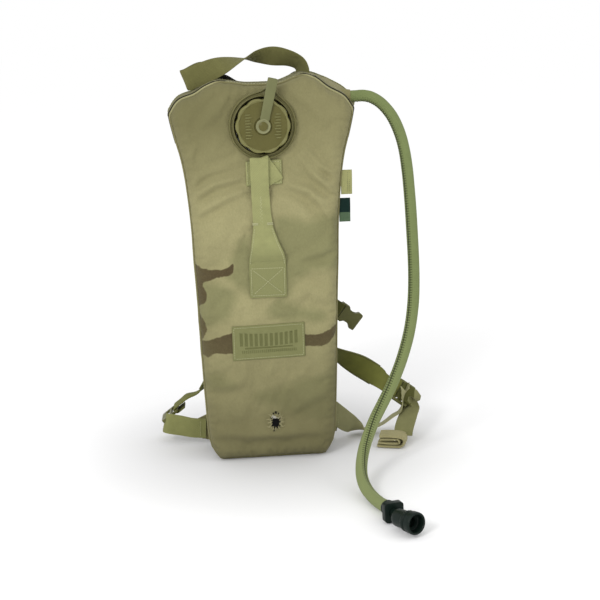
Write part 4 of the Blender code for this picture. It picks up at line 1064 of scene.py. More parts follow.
def add_back(looks):
    inset = CLOTH_INSET

    def point(u, v):
        u = 2 * u - 1
        x, z = outline_point(u, v, inset)
        side, low, high = edge_distances(u, v, inset)
        rise = edge_factor(u, v, inset, 0.012)
        y = BACK_SEAM_Y + 0.0008 + BACK_RISE * rise
        for channel in QUILT_CHANNELS:
            y -= 0.0022 * bell(z - channel, 0.0035) * rise
        y -= 0.0018 * bell(min(side, low, high) - 0.02, 0.0028)
        y += 0.0005 * grain(x * 30, 5.0, z * 30) * rise
        near = max(0.0, 1.0 - min(side, high) / 0.035)
        x, z = flared(x, z, near)
        z += (0.0075 * bell(x + 0.041, 0.013) + 0.0022 * bell(x - 0.043, 0.008)) * near
        return Vector((x, y, z))

    pad = grid("back_pad", 90, 180, point, looks["mesh"])
    face_along(pad, lambda face: -FRONTWARD)
    thicken(pad, 0.003)
    finish_piece(pad, "pack", "mesh_black", "back_panel")
    paths = []
    for channel in QUILT_CHANNELS:
        half = float(np.interp(channel, *FINE_SIDE)) - 0.022
        paths.append([(x, BACK_SEAM_Y + BACK_RISE - 0.0012, channel) for x in np.linspace(-half, half, 20)])
    ring, _ = even_loop(outline_loop(0.0205), 0.004)
    paths.append([(x, BACK_SEAM_Y + BACK_RISE - 0.0008, z) for x, z in ring + ring[:1]])
    sew("mesh_black", "back_quilting", paths, looks["thread_dark"])


def add_inside(looks):
    mesh = frame["nodes"]["front_insulation"].data.copy()
    mesh.materials.clear()
    for vert in [vert for vert in mesh.vertices if vert.normal.y < -0.2]:
        vert.co.y += 0.0021
    smooth(mesh)
    finish_piece(new_object("front_foam", mesh, looks["foam"]), "pack", "foam", "front_insulation")
    for node, look in (("back_insulation", "foam"), ("reservoir", "film"), ("inner_hose", "film"),
                       ("outlet_elbow", "collar"), ("fill_neck", "collar"), ("cap_gasket", "gasket")):
        obj = frame["nodes"][node]
        obj.data.materials.clear()
        obj.data.materials.append(looks[look])
        for face in obj.data.polygons:
            face.use_smooth = True


def joined(name, objs):
    """Several pieces made one object."""
    with bpy.context.temp_override(active_object=objs[0], selected_editable_objects=list(objs)):
        bpy.ops.object.join()
    objs[0].name = name
    return objs[0]


# ---- the port ----

LEAN = Vector((0.235, 0.972))


def port_matrix():
    return frame_matrix(PORT, (1, 0, 0), (0, -1, 0))


def add_port(looks):
    matrix = port_matrix()
    tab = math.atan2(LEAN.y, LEAN.x)

    def flare(angle, radius, height):
        off = abs((angle - tab + math.pi) % (2 * math.pi) - math.pi)
        if radius > 0.0358:
            return radius + 0.0062 * bell(off, 0.17) + 0.0014 * bell(off, 0.34)
        if radius > 0.034:
            return radius + 0.003 * bell(off, 0.22)
        return radius

    ring = lathe("collar", ((0.0356, -0.008), (0.0356, 0.0004), (0.0394, 0.0005), (0.04, 0.0012),
                            (0.0402, 0.0028), (0.0399, 0.0044), (0.0392, 0.0054), (0.0384, 0.0055),
                            (0.0376, 0.0048), (0.0369, 0.0034), (0.0361, 0.0034), (0.0357, 0.0042),
                            (0.0352, 0.0055), (0.0345, 0.0058), (0.0339, 0.0053), (0.0335, 0.0042),
                            (0.0334, 0.003), (0.0334, -0.008), (0.0356, -0.008)),
                 matrix, looks["collar"], 128, flare)
    finish_piece(ring, "pack", "collar_plastic", "collar_ring")

    def scallops(angle, radius, height):
        if radius < 0.0284:
            return radius
        part = (angle + math.pi / 10) % (math.pi / 5) - math.pi / 10
        lobe = 1.0 - 0.052 * abs(part / (math.pi / 10)) ** 1.7
        sharp = min(1.0, (radius - 0.0284) / 0.0014)
        return radius * (1 + (lobe - 1) * sharp)

    top = 0.013
    cap = lathe("cap_top", ((0.0284, top - 0.0008), (0.024, top - 0.0008), (0.012, top - 0.0006),
                            (0.0106, top - 0.0003), (0.0098, top - 0.001), (0.0, top - 0.001)),
                matrix, looks["cap"], 160)
    # Painted highlight: the rim and the ribs take a paler copy of the cap's plastic.
    rim = lathe("cap_rim", ((0.03, -0.002), (0.0318, -0.002), (0.0324, 0.0), (0.0325, top - 0.003),
                            (0.0323, top - 0.0014), (0.0317, top - 0.0002), (0.0309, top + 0.0004),
                            (0.03, top + 0.0003), (0.0293, top - 0.0002), (0.0288, top - 0.0007),
                            (0.0284, top - 0.0008)),
                matrix, looks["cap_rim"], 200, scallops)
    form = bmesh.new()
    for side in (-1, 1):
        outer = side * 0.0212
        for k in range(9):
            across = (k - 4) * 0.0034
            inner = side * (0.0128 if k % 2 else 0.0146)
            path = [matrix @ Vector((inner + (outer - inner) * t, across, top - 0.0004))
                    for t in (0, 0.1, 0.5, 0.9, 1)]
            add_tube(form, path, 0.0005, 6, [0.0002, 0.0007, 0.0008, 0.0007, 0.0002])
    ribs = made("ribs", form, looks["cap_rim"], 80)
    button = lathe("button", ((0.0, 0.0178), (0.0022, 0.0178), (0.0036, 0.0176), (0.0046, 0.017),
                              (0.0052, 0.0168), (0.0054, 0.0162), (0.0052, 0.0158), (0.003, 0.0156),
                              (0.003, 0.012)),
                   matrix, looks["cap"], 48)
    cap = joined("cap_detailed", [cap, rim, ribs, button])
    finish_piece(cap, "cap", "cap_plastic", "cap", "tether_button")
    add_tether(looks, matrix)


def add_tether(looks, matrix):
    thick = 0.0022
    # Painted highlight: the eye takes a paler copy of the tether's rubber.
    eye = lathe("eye", ((0.0036, 0.0156), (0.0036, 0.016), (0.0046, 0.0156), (0.006, 0.0154), (0.007, 0.0156),
                        (0.0078, 0.016), (0.0084, 0.0157), (0.0086, 0.0148), (0.0084, 0.0137),
                        (0.0076, 0.0134), (0.0036, 0.0134), (0.0036, 0.0156)),
                matrix, looks["rubber_highlight"], 64)
    turn = matrix.to_3x3()
    across = turn @ Vector((LEAN.y, -LEAN.x, 0.0))
    rows = []
    for reach, height, width in ((0.0066, 0.0145, 0.0098), (0.0095, 0.0146, 0.0112), (0.013, 0.0147, 0.0108),
                                 (0.03, 0.015, 0.0114), (0.045, 0.0143, 0.0118), (0.0528, 0.0131, 0.0118),
                                 (0.0556, 0.0112, 0.0116), (0.054, 0.0092, 0.0112), (0.051, 0.0078, 0.0108),
                                 (0.047, 0.0064, 0.0105), (0.0435, 0.0052, 0.01)):
        rows.append((matrix @ Vector((LEAN.x * reach, LEAN.y * reach, height)), across, width))
    strap = band("strap", rows, thick, looks["rubber"], 8, 8)
    tether = joined("tether_detailed", [eye, strap])
    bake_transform(tether)
    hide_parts("cap_tether")


# ---- what is sewn to the front ----

def laid(name, x0, x1, z0, z1, lift, look, columns=40, rows=24, thickness=0.0013, relief=None, tilt=0.0):
    """A flat piece on the front panel, its corners a little out of square as sewn."""
    def point(u, v):
        x = x0 + (x1 - x0) * u
        z = z0 + (z1 - z0) * v + tilt * (u - 0.5)
        edge = min(u * (x1 - x0), (1 - u) * (x1 - x0), v * (z1 - z0), (1 - v) * (z1 - z0))
        y = front_y(x, z) - lift
        y += 0.0007 * max(0.0, 1 - edge / 0.0012) ** 2
        y -= 0.0003 * grain(x * 90, 4.0, z * 90)
        if relief:
            y -= relief(x, z)
        return Vector((x, y, z))
    obj = grid(name, columns, rows, point, look)
    face_along(obj, lambda face: FRONTWARD)
    return thicken(obj, thickness)


def emblem(x, z):
    """A generic woven design: a shallow arch of plain upright bars over a line and a row of small bars."""
    u = (x + 0.0015) / 0.0365
    v = (z - 0.1555) / 0.0175
    if abs(u) > 1:
        return 0.0
    low, high = -0.28 - 0.1 * (1 - u * u), 0.52 + 0.14 * u * u
    bar = (u * 6.0) % 1.0
    if low < v < high and 0.2 < bar < 0.8:
        return 1.0
    if abs(u) < 0.8 and abs(v + 0.48) < 0.05:
        return 1.0
    if abs(u) < 0.92 and -0.86 < v < -0.64 and (u * 15.0) % 1.0 > 0.42:
        return 0.75
    return 0.0


def add_front_pieces(looks):
    def relief(x, z):
        return -0.0005 * emblem(x, z)

    patch = laid("patch_woven", -0.046, 0.043, 0.1325, 0.1757, 0.0016, looks["patch"], 220, 110, 0.0012,
                 relief=relief, tilt=0.002)
    marks = patch.data.attributes.new("mark", "FLOAT", "POINT")
    marks.data.foreach_set("value", [emblem(v.co.x, v.co.z - 0.002 * ((v.co.x + 0.046) / 0.089 - 0.5))
                                     for v in patch.data.vertices])
    finish_piece(patch, "pack", "webbing", "patch")
    anchor = laid("anchor_woven", -0.0218, 0.0212, 0.3462, 0.3757, 0.0026, looks["webbing"], 30, 24, 0.0024,
                  tilt=0.0015)
    finish_piece(anchor, "pack", "webbing", "port_strap_anchor")

    pleat = ((-0.004, 0.301, 0.003, 0.0232), (-0.0037, 0.295, 0.0027, 0.0242),
             (-0.0032, 0.287, 0.0034, 0.0278), (-0.002, 0.274, 0.0066, 0.0345),
             (-0.0009, 0.264, 0.0068, 0.0408), (-0.0003, 0.257, 0.0044, 0.0436), (0.0, 0.251, 0.0024, 0.0445))
    rows = [((x, front_y(0.0, z) - off, z), across, width) for x, z, off, across, width in (
        (0.0128, 0.3495, 0.0036, (0.85, 0, 0.53), 0.0205), (0.0088, 0.357, 0.004, (0.86, 0, 0.51), 0.0207),
        (0.0038, 0.364, 0.0044, (0.92, 0, 0.38), 0.0208), (-0.001, 0.37, 0.005, (0.98, 0, 0.18), 0.0212),
        (-0.0042, 0.3758, 0.006, (1, 0, 0.03), 0.0216), (-0.0056, 0.3786, 0.0072, (1, 0, 0), 0.022),
        (-0.006, 0.3776, 0.0086, (1, 0, 0), 0.0222), (-0.0062, 0.369, 0.0086, (1, 0, 0), 0.0218))]
    for x, z, off, width in ((-0.006, 0.345, 0.007, 0.0214), (-0.0052, 0.32, 0.0046, 0.0218), *pleat,
                             (0.0, 0.23, 0.0018, 0.0445), (0.0, 0.21, 0.0017, 0.0445)):
        rows.append(((x, front_y(0.0, z) - off, z), (1, 0, 0), width))
    strap = band("port_strap_woven", rows, WEBBING, looks["webbing"], 8, 14)
    finish_piece(strap, "pack", "webbing", "port_strap")

    def on_strap(x, z, off):
        return Vector((x, front_y(0.0, z) - off, z))

    box = [(-0.02, 0.246), (0.02, 0.246), (0.02, 0.2125), (-0.02, 0.2125), (-0.02, 0.246)]
    paths = [[on_strap(x, z, 0.0028) for x, z in (a, b)] for a, b in zip(box, box[1:])]
    paths += [[on_strap(-0.0175, 0.244, 0.0028), on_strap(0.0175, 0.2145, 0.0028)],
              [on_strap(0.0175, 0.244, 0.0028), on_strap(-0.0175, 0.2145, 0.0028)]]
    for side in (-1, 1):
        edge = [(x + side * (width / 2 - 0.0018), front_y(0.0, z) - off - 0.0009, z)
                for x, z, off, width in pleat[1:]]
        paths.append([Vector(p) for p in catmull(edge, 8)])
    zigzag = [on_strap(-0.0055 + 0.0011 * (-1) ** k, 0.334 - 0.0022 * k, 0.0066 - 0.0032 * k / 15)
              for k in range(16)]
    paths.append(zigzag)
    sew("webbing", "port_strap_stitching", paths, looks["thread"], 0.003, 0.0023, 0.0005)
    tack = [[on_strap(x0, z, 0.004), on_strap(x1, z, 0.004)] for z in (0.3012, 0.2996)
            for x0, x1 in ((-0.0162, -0.0092), (0.0014, 0.0082))]
    sew("webbing", "port_strap_bartack", tack, looks["thread"], 0.0013, 0.0021, 0.00075)

    def on_front(x, z, off):
        return Vector((x, front_y(x, z) - off, z))

    border = []
    for x0, x1, z0, z1, slant, off, count in ((-0.0438, 0.0408, 0.1347, 0.1735, 0.001, 0.0017, 20),
                                              (-0.02, 0.0194, 0.348, 0.374, 0.0, 0.0029, 12)):
        corners = ((x0, z1 - slant), (x1, z1 + slant), (x1, z0 + slant), (x0, z0 - slant), (x0, z1 - slant))
        for a, b in zip(corners, corners[1:]):
            border.append([on_front(a[0] + (b[0] - a[0]) * t, a[1] + (b[1] - a[1]) * t, off)
                           for t in np.linspace(0, 1, count)])
    sew("webbing", "patch_stitching", border, looks["thread"], 0.0032, 0.0023)


def add_labels(looks):
    for name, node, look, slot in (("label_tan_folded", "side_label_tan", "label_tan", "label_tan"),
                                   ("label_dark_folded", "side_label_dark", "label_dark", "label_dark")):
        low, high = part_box(node)
        middle = (low.y + high.y) / 2

        def point(u, v, low=low, high=high, middle=middle):
            angle = math.pi * clamp((u - 0.46) / 0.08)
            run = min(u / 0.46, (1 - u) / 0.46, 1.0)
            x = low.x - 0.0015 + (high.x - low.x + 0.001) * run + 0.0004 * math.sin(angle)
            side = math.cos(angle)
            z = low.z + (high.z - low.z) * v + 0.003
            wave = 0.0006 * math.sin(v * 5 + 1) * run
            return Vector((x, middle - 0.0006 * side + wave, z))

        label = grid(name, 40, 24, point, looks[look], flat=lambda u, v: (u * 0.024, v * 0.029))
        thicken(label, 0.0003, 0.0)
        finish_piece(label, "pack", slot, node)
    low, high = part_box("side_label_tan")
    x = (low.x + high.x) / 2 + 0.0012
    rows = [[Vector((x + dx, low.y - 0.0006, low.z + 0.006)), Vector((x + dx, low.y - 0.0006, high.z))]
            for dx in (-0.0008, 0.0016)]
    sew("label_tan", "label_stitching", rows, looks["thread_dark"], 0.0022, 0.0012, 0.00022)


# ---- the carry handle ----

def add_handle(looks):
    rows = (
        ((-0.06, 0.016, 0.478), (0.02, 0.05, -1.0), 0.024),
        ((-0.07, 0.016, 0.478), (0.02, 0.05, -1.0), 0.0245),
        ((-0.084, 0.0168, 0.4712), (0.25, 0.05, -1.0), 0.025),
        ((-0.0895, 0.012, 0.4695), (0.36, 0.0, -0.93), 0.025),
        ((-0.085, 0.007, 0.4702), (0.3, 0.0, -0.95), 0.0255),
        ((-0.069, 0.005, 0.4765), (0.14, -0.15, -1.0), 0.026),
        ((-0.049, 0.0078, 0.4838), (0.12, -0.5, -0.85), 0.026),
        ((-0.023, 0.01, 0.4915), (0.1, -0.98, -0.2), 0.026),
        ((-0.001, 0.011, 0.495), (0.0, -0.8, 0.55), 0.026),
        ((0.019, 0.011, 0.495), (0.0, -0.5, 0.86), 0.026),
        ((0.037, 0.011, 0.492), (0.25, -0.65, 0.65), 0.026),
        ((0.049, 0.011, 0.4865), (0.5, -0.8, 0.4), 0.026),
        ((0.054, 0.011, 0.479), (0.55, -0.85, 0.05), 0.026),
        ((0.0545, 0.011, 0.47), (0.5, -0.9, 0.0), 0.0255),
    )
    handle = band("handle_woven", rows, 0.0017, looks["handle"], 10, 10)
    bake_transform(handle)
    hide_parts("carry_handle")


# ---- the harness ----

LOCKS = {
    "R": (Vector((0.169, 0.033, 0.06)), Vector((0.8, -0.2, -0.57)), Vector((-0.28, -0.7, -0.65))),
    "L": (Vector((-0.1195, 0.05, 0.044)), Vector((-0.8, 0.0, -0.6)), Vector((0.0, -0.995, 0.05))),
}
STRAP_ROWS = (
    ((0.038, 0.0345, 0.444), (1, 0, 0), 0.05, 0.0),
    ((0.04, 0.0352, 0.425), (1, 0, 0), 0.05, 0.003),
    ((0.044, 0.046, 0.39), (1, 0, 0), 0.05, 0.005),
    ((0.052, 0.063, 0.335), (1, 0, 0), 0.048, 0.0055),
    ((0.06, 0.07, 0.265), (1, 0, 0), 0.044, 0.0045),
    ((0.062, 0.07, 0.232), (1, 0, 0), 0.042, 0.0005),
    ((0.062, 0.07, 0.215), (1, 0, 0), 0.042, 0.0),
    ((0.062, 0.07, 0.17), (1, 0, 0), 0.042, 0.0),
    ((0.062, 0.07, 0.13), (1, 0, 0), 0.042, 0.0),
)
STRAP_ENDS = {
    "R": (((0.068, 0.068, 0.12), (0.9, -0.25, 0.35), 0.038, 0.0),
          ((0.079, 0.065, 0.1085), (0.62, -0.62, 0.48), 0.033, 0.0),
          ((0.093, 0.061, 0.1035), (0.3, -0.78, 0.55), 0.03, 0.0),
          ((0.11, 0.056, 0.0945), (0.45, -0.5, 0.74), 0.029, 0.0),
          ((0.127, 0.05, 0.086), (0.58, -0.05, 0.81), 0.028, 0.0),
          ((0.143, 0.043, 0.0765), (0.5, 0.25, 0.83), 0.027, 0.0)),
    "L": (((-0.064, 0.069, 0.106), (-0.95, -0.25, 0.1), 0.036, 0.0),
          ((-0.074, 0.0635, 0.08), (-0.55, -0.8, 0.25), 0.03, 0.0),
          ((-0.089, 0.057, 0.064), (-0.12, -0.97, 0.2), 0.027, 0.0)),
}


def lock_matrix(mark):
    origin, travel, across = LOCKS[mark]
    return frame_matrix(origin, travel, travel.cross(across))


def lock_rows(mark, points, width, sign=1):
    matrix = lock_matrix(mark)
    across = matrix.to_3x3() @ Vector((0, sign, 0))
    return [(matrix @ Vector((along, 0.0, off)), across, width, 0.0) for along, off in points]


def add_harness(looks):
    loop = 0.0035
    for mark, side in (("R", 1), ("L", -1)):
        rows = [((side * x, y, z), (side * ax, ay, az), w, extra)
                for (x, y, z), (ax, ay, az), w, extra in STRAP_ROWS]
        rows += list(STRAP_ENDS[mark])
        last = Vector(rows[-1][1])
        sign = 1 if last.dot(lock_matrix(mark).to_3x3() @ Vector((0, 1, 0))) > 0 else -1
        rows += lock_rows(mark, ((-0.02, loop), (-0.008, loop), (0.0, loop), (0.0025, loop * 0.7),
                                 (0.0035, 0.0), (0.0025, -loop * 0.7), (0.0, -loop), (-0.006, -loop),
                                 (-0.01, -loop)), 0.027, sign)
        strap = band(f"shoulder_pad_{mark}", rows, 0.0022, looks["strap"], 8, 14)
        finish_piece(strap, "pack", "strap_cloth", f"shoulder_strap_{mark}")
        edges = []
        fine = catmull([(*c, *Vector(a).normalized(), w) for c, a, w, _ in rows[:-9]], 10)
        for k in (-1, 1):
            path = []
            for index, row in enumerate(fine):
                before = Vector(fine[max(index - 1, 0)][:3])
                after = Vector(fine[min(index + 1, len(fine) - 1)][:3])
                travel = (after - before).normalized()
                across = Vector(row[3:6])
                across = (across - travel * across.dot(travel)).normalized()
                path.append(Vector(row[:3]) + across * (k * (row[6] / 2 - 0.0004)))
            edges.append(tube(f"edge_{mark}_{k}", path, 0.00155, looks["binding"], 8))
        binding = joined(f"strap_binding_{mark}", edges)
        finish_piece(binding, "pack", "strap_cloth")
        refined(f"ladder_lock_{mark}", looks["buckle"], 0.0009, "buckle_plastic", 3)
        refined(f"sternum_slider_{mark}", looks["buckle"], 0.0007, "buckle_plastic", 2)
    add_lower_webbing(looks)
    add_sternum(looks)


def add_lower_webbing(looks):
    right = [
        ((0.08, 0.0205, 0.04), (-0.62, 0.05, -0.78), 0.027),
        ((0.0912, 0.0205, 0.03), (-0.66, 0.05, -0.75), 0.027),
        ((0.101, 0.021, 0.0213), (-0.66, 0.1, -0.73), 0.027),
        ((0.111, 0.0225, 0.0136), (-0.6, 0.45, -0.62), 0.027),
        ((0.124, 0.025, 0.008), (-0.1, 0.97, -0.22), 0.027),
        ((0.146, 0.0255, 0.013), (0.08, 0.97, -0.21), 0.027),
        ((0.162, 0.0245, 0.024), (0.1, 0.97, -0.16), 0.027),
        ((0.174, 0.024, 0.033), (0.12, 0.97, -0.14), 0.026),
    ]
    matrix = lock_matrix("R")
    across = matrix.to_3x3() @ Vector((0, -1, 0))
    right += [(matrix @ Vector((0.013, 0.0, -0.0045)), across, 0.026),
              (matrix @ Vector((0.0148, 0.0, 0.0)), across, 0.026),
              (matrix @ Vector((0.013, 0.0, 0.004)), across, 0.026),
              (matrix @ Vector((0.01, 0.0, 0.0042)), across, 0.026)]
    left = [
        ((-0.083, 0.0195, 0.0235), (0.05, 0.05, -1.0), 0.027),
        ((-0.0912, 0.02, 0.024), (0.05, 0.05, -1.0), 0.027),
        ((-0.102, 0.0215, 0.025), (0.0, 0.05, -1.0), 0.027),
        ((-0.116, 0.025, 0.0275), (-0.14, 0.0, -1.0), 0.027),
        ((-0.128, 0.028, 0.029), (-0.22, 0.0, -0.97), 0.027),
        ((-0.134, 0.032, 0.0292), (-0.24, 0.0, -0.97), 0.026),
        ((-0.1362, 0.038, 0.029), (-0.24, 0.0, -0.97), 0.026),
        ((-0.134, 0.043, 0.029), (-0.24, 0.0, -0.97), 0.026),
    ]
    for mark, rows, side in (("R", right, 1), ("L", left, -1)):
        piece = band(f"lower_webbing_woven_{mark}", rows, WEBBING,
                     looks["web_dark" if mark == "R" else "web_left"], 8, 8)
        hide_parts(f"lower_webbing_{mark}")
        if side > 0:
            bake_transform(piece)
        else:
            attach(piece, "pack")
        tab = [((side * 0.079, 0.0232, 0.024), (side * 0.1, 0.0, -1.0), 0.036),
               ((side * 0.086, 0.0232, 0.0232), (side * 0.05, 0.0, -1.0), 0.031),
               ((side * 0.091, 0.0232, 0.0222), (-side * 0.1, 0.0, -1.0), 0.028)]
        tab = band(f"corner_tab_sewn_{mark}", tab, 0.0013, looks["plain"], 6, 8)
        finish_piece(tab, "pack", "tan_cloth", f"corner_tab_{mark}")
        rows = [[Vector((side * x, 0.0184, z)) for x, z in ((0.0895, 0.034), (0.0905, 0.012))]]
        sew("tan_cloth", f"tab_stitching_{mark}", rows, looks["thread"])
    tails = {
        "R": lock_rows("R", ((0.0265, -0.0034), (0.028, -0.003)), 0.026) + [
            ((0.1868, 0.0205, 0.0375), (0.25, -0.9, -0.35), 0.026, 0.0),
            ((0.181, 0.009, 0.03), (0.52, -0.84, -0.15), 0.026, 0.0),
            ((0.1752, -0.003, 0.023), (0.78, -0.62, -0.05), 0.026, 0.0),
            ((0.1715, -0.011, 0.0165), (0.88, -0.47, 0.0), 0.025, 0.0),
            ((0.17, -0.015, 0.0105), (0.9, -0.43, 0.0), 0.024, 0.0)],
        "L": [((-0.1345, 0.059, 0.0255), (0.0, -1.0, 0.05), 0.026, 0.0),
              ((-0.135, 0.06, 0.018), (0.0, -1.0, 0.0), 0.026, 0.0),
              ((-0.132, 0.0605, 0.0115), (0.0, -1.0, 0.0), 0.026, 0.0),
              ((-0.126, 0.061, 0.009), (0.0, -1.0, 0.0), 0.026, 0.0)],
    }
    for mark, rows in tails.items():
        tail = band(f"tail_woven_{mark}", rows, WEBBING, looks["tail"], 8, 8)
        if mark == "R":
            # Painted shade: the hump, the tail's webbing inside lock R, takes a darker copy of the tail's
            # colour.
            hump = lock_rows("R", ((0.0046, 0.003), (0.005, 0.0), (0.0075, -0.0034), (0.01, -0.004),
                                   (0.0122, -0.0034), (0.017, -0.0038), (0.0215, -0.0042), (0.0272, -0.0034)),
                             0.0262)
            tail = joined("tail_woven_R", [tail, band("hump", hump, 0.0015, looks["tail_dark"], 6, 8)])
        finish_piece(tail, f"lock_{mark}", "webbing", f"webbing_tail_{mark}")
    add_bundle(looks)


def add_bundle(looks):
    """The tail's end, rolled flat in loose layers."""
    turn = math.radians(18)
    matrix = frame_matrix((0.1545, -0.02, 0.0088), (math.cos(turn), -math.sin(turn), 0.0),
                          (-math.sin(turn), -math.cos(turn), 0.0))
    across = matrix.to_3x3() @ Vector((0.0, 0.0, 1.0))
    layers = []
    for name, thick, path in (
        ("outer", 0.004, ((-0.017, -0.006), (-0.01, -0.0066), (0.006, -0.0066), (0.0128, -0.006),
                          (0.0164, -0.003), (0.0168, 0.001), (0.0152, 0.0046), (0.009, 0.0064),
                          (-0.006, 0.0066), (-0.015, 0.0058))),
        ("inner", 0.0034, ((-0.016, -0.0018), (-0.008, -0.0024), (0.006, -0.0025), (0.0106, -0.001),
                           (0.011, 0.0012), (0.008, 0.0028), (0.0, 0.0028), (-0.014, 0.0022))),
    ):
        rows = [(matrix @ Vector((x, y, 0.0003 * math.sin(k * 2.1))), across, 0.0255, 0.0)
                for k, (x, y) in enumerate(path)]
        layers.append(band(name, rows, thick, looks["bundle"], 5, 6))
    roll = joined("bundle_rolled", layers)
    finish_piece(roll, "lock_R", "webbing", "webbing_bundle_R")


def add_sternum(looks):
    right = (
        ((0.0565, 0.0763, 0.1778), (0.33, 0.0, 0.945), 0.02),
        ((0.062, 0.0765, 0.176), (0.33, 0.0, 0.945), 0.02),
        ((0.08, 0.0765, 0.1705), (0.4, 0.0, 0.92), 0.02),
        ((0.093, 0.0765, 0.165), (0.5, 0.0, 0.86), 0.02),
        ((0.102, 0.0765, 0.1592), (0.6, 0.0, 0.8), 0.02),
    )
    piece = band("sternum_woven_R", right, WEBBING, looks["tail_dark"], 8, 6)
    bar = frame_matrix((0.0992, 0.0765, 0.161), (0.79, 0.0, -0.61), (0, -1, 0))
    across = bar.to_3x3() @ Vector((0, 1, 0))
    rows = [(bar @ Vector((reach, 0.0, off)), across, 0.0196) for reach, off in (
        (-0.014, 0.0012), (-0.008, 0.0042), (0.0, 0.0046), (0.0036, 0.0044), (0.005, 0.0034), (0.0051, 0.0),
        (0.005, -0.0034), (0.0036, -0.0044), (-0.004, -0.0044), (-0.012, -0.0016))]
    piece = joined("sternum_woven_R", [piece, band("wrap", rows, 0.0015, looks["tail_dark"], 6, 6)])
    finish_piece(piece, "sternum_R", "webbing", "sternum_webbing_R")
    start = Vector((-0.062, 0.079, 0.17))
    travel = Vector((-0.06, 0.0, -1.0))
    rows = [(start + travel * reach, (1.0, 0.0, -0.06), 0.02)
            for reach in (-0.004, 0.0, 0.015, 0.03, 0.044, 0.049)]
    piece = band("sternum_woven_L", rows, WEBBING, looks["webbing"], 6, 6)
    finish_piece(piece, "sternum_L", "webbing", "sternum_webbing_L")
    refined("female_buckle", looks["buckle"], 0.0011, "buckle_plastic", 3)
    refined("male_buckle", looks["buckle"], 0.0008, "buckle_plastic", 2)


# ---- the hose and its valve ----

SEAM_SIDES = ((0.0, (-0.2, -0.3, -1.0)), (0.12, (-0.7, -0.4, -0.7)), (0.25, (-0.9, -0.52, -0.1)),
              (0.5, (-0.9, -0.6, 0.0)), (0.62, (-0.95, -0.65, 0.0)), (0.7, (-0.7, -0.85, 0.0)),
              (0.77, (-0.2, -1.0, 0.1)), (0.84, (0.45, -0.8, 0.5)), (0.9, (0.85, -0.2, 0.8)),
              (1.0, (0.9, 0.1, 0.7)))


def seam_side(share):
    keys = [key for key, _ in SEAM_SIDES]
    return Vector([float(np.interp(share, keys, [side[k] for _, side in SEAM_SIDES])) for k in range(3)])


def add_hose(looks):
    points = evenly(HOSE_ROUTE, 0.0011)
    axis = (VALVE_BEND - VALVE_START).normalized()
    count, sides = len(points), 40
    form = bmesh.new()
    layer = form.loops.layers.uv.new("flat")
    length = sum((b - a).length for a, b in zip(points, points[1:]))
    rings = []
    for index, point in enumerate(points):
        travel = (points[min(index + 1, count - 1)] - points[max(index - 1, 0)]).normalized()
        if index == count - 1:
            travel = axis
        share = index / (count - 1)
        side = seam_side(share)
        side = (side - travel * side.dot(travel)).normalized()
        other = travel.cross(side)
        gone = share * length
        ring = []
        for k in range(sides):
            angle = 2 * math.pi * k / sides
            off = min(angle, 2 * math.pi - angle) * HOSE_R
            radius = HOSE_R - 0.0009 * bell(off, 0.0011)
            radius -= 0.00035 * bell(off - 0.0026, 0.002) * math.sin(gone * 2 * math.pi / SEAM_PITCH)
            radius += 0.00022 * grain(gone * 30, math.cos(angle), math.sin(angle))
            ring.append(form.verts.new(point + (side * math.cos(angle) + other * math.sin(angle)) * radius))
        rings.append(ring)
    for j, (first, second) in enumerate(zip(rings, rings[1:])):
        for k in range(sides):
            after = (k + 1) % sides
            face = form.faces.new((first[k], first[after], second[after], second[k]))
            around = [k - sides if k >= sides / 2 else k, (k - sides if k >= sides / 2 else k) + 1]
            spots = ((around[0], j), (around[1], j), (around[1], j + 1), (around[0], j + 1))
            for loop, (a, b) in zip(face.loops, spots):
                loop[layer].uv = (a / sides * 2 * math.pi * HOSE_R, b / (count - 1) * length)
    form.faces.new(list(reversed(rings[0])))
    form.faces.new(rings[-1])
    bmesh.ops.recalc_face_normals(form, faces=form.faces)
    hose = made("hose_sleeve", form, looks["hose"])
    finish_piece(hose, "pack", "hose_cover", "drinking_hose")
    valve = add_valve(looks)
    add_grommet(looks)


def add_grommet(looks):
    start = Vector(HOSE_ROUTE[0])
    travel = (Vector(HOSE_ROUTE[1]) - start).normalized()
    matrix = frame_matrix(start, (0, 1, 0), travel)

    def creased(angle, radius, height):
        return radius * (1 + 0.03 * math.sin(5 * angle + height * 300))

    grommet = lathe("hose_cuff", ((0.0, -0.013), (0.0106, -0.013), (0.0104, -0.01), (0.0094, -0.006),
                                  (0.0085, -0.0028), (0.0081, -0.0008), (0.008, 0.0), (0.0077, 0.0005),
                                  (0.0073, 0.0004), (0.0071, -0.0006), (0.0071, -0.007), (0.0, -0.007)),
                    matrix, looks["plain"], 64, creased)
    finish_piece(grommet, "pack", "tan_cloth", "hose_grommet")


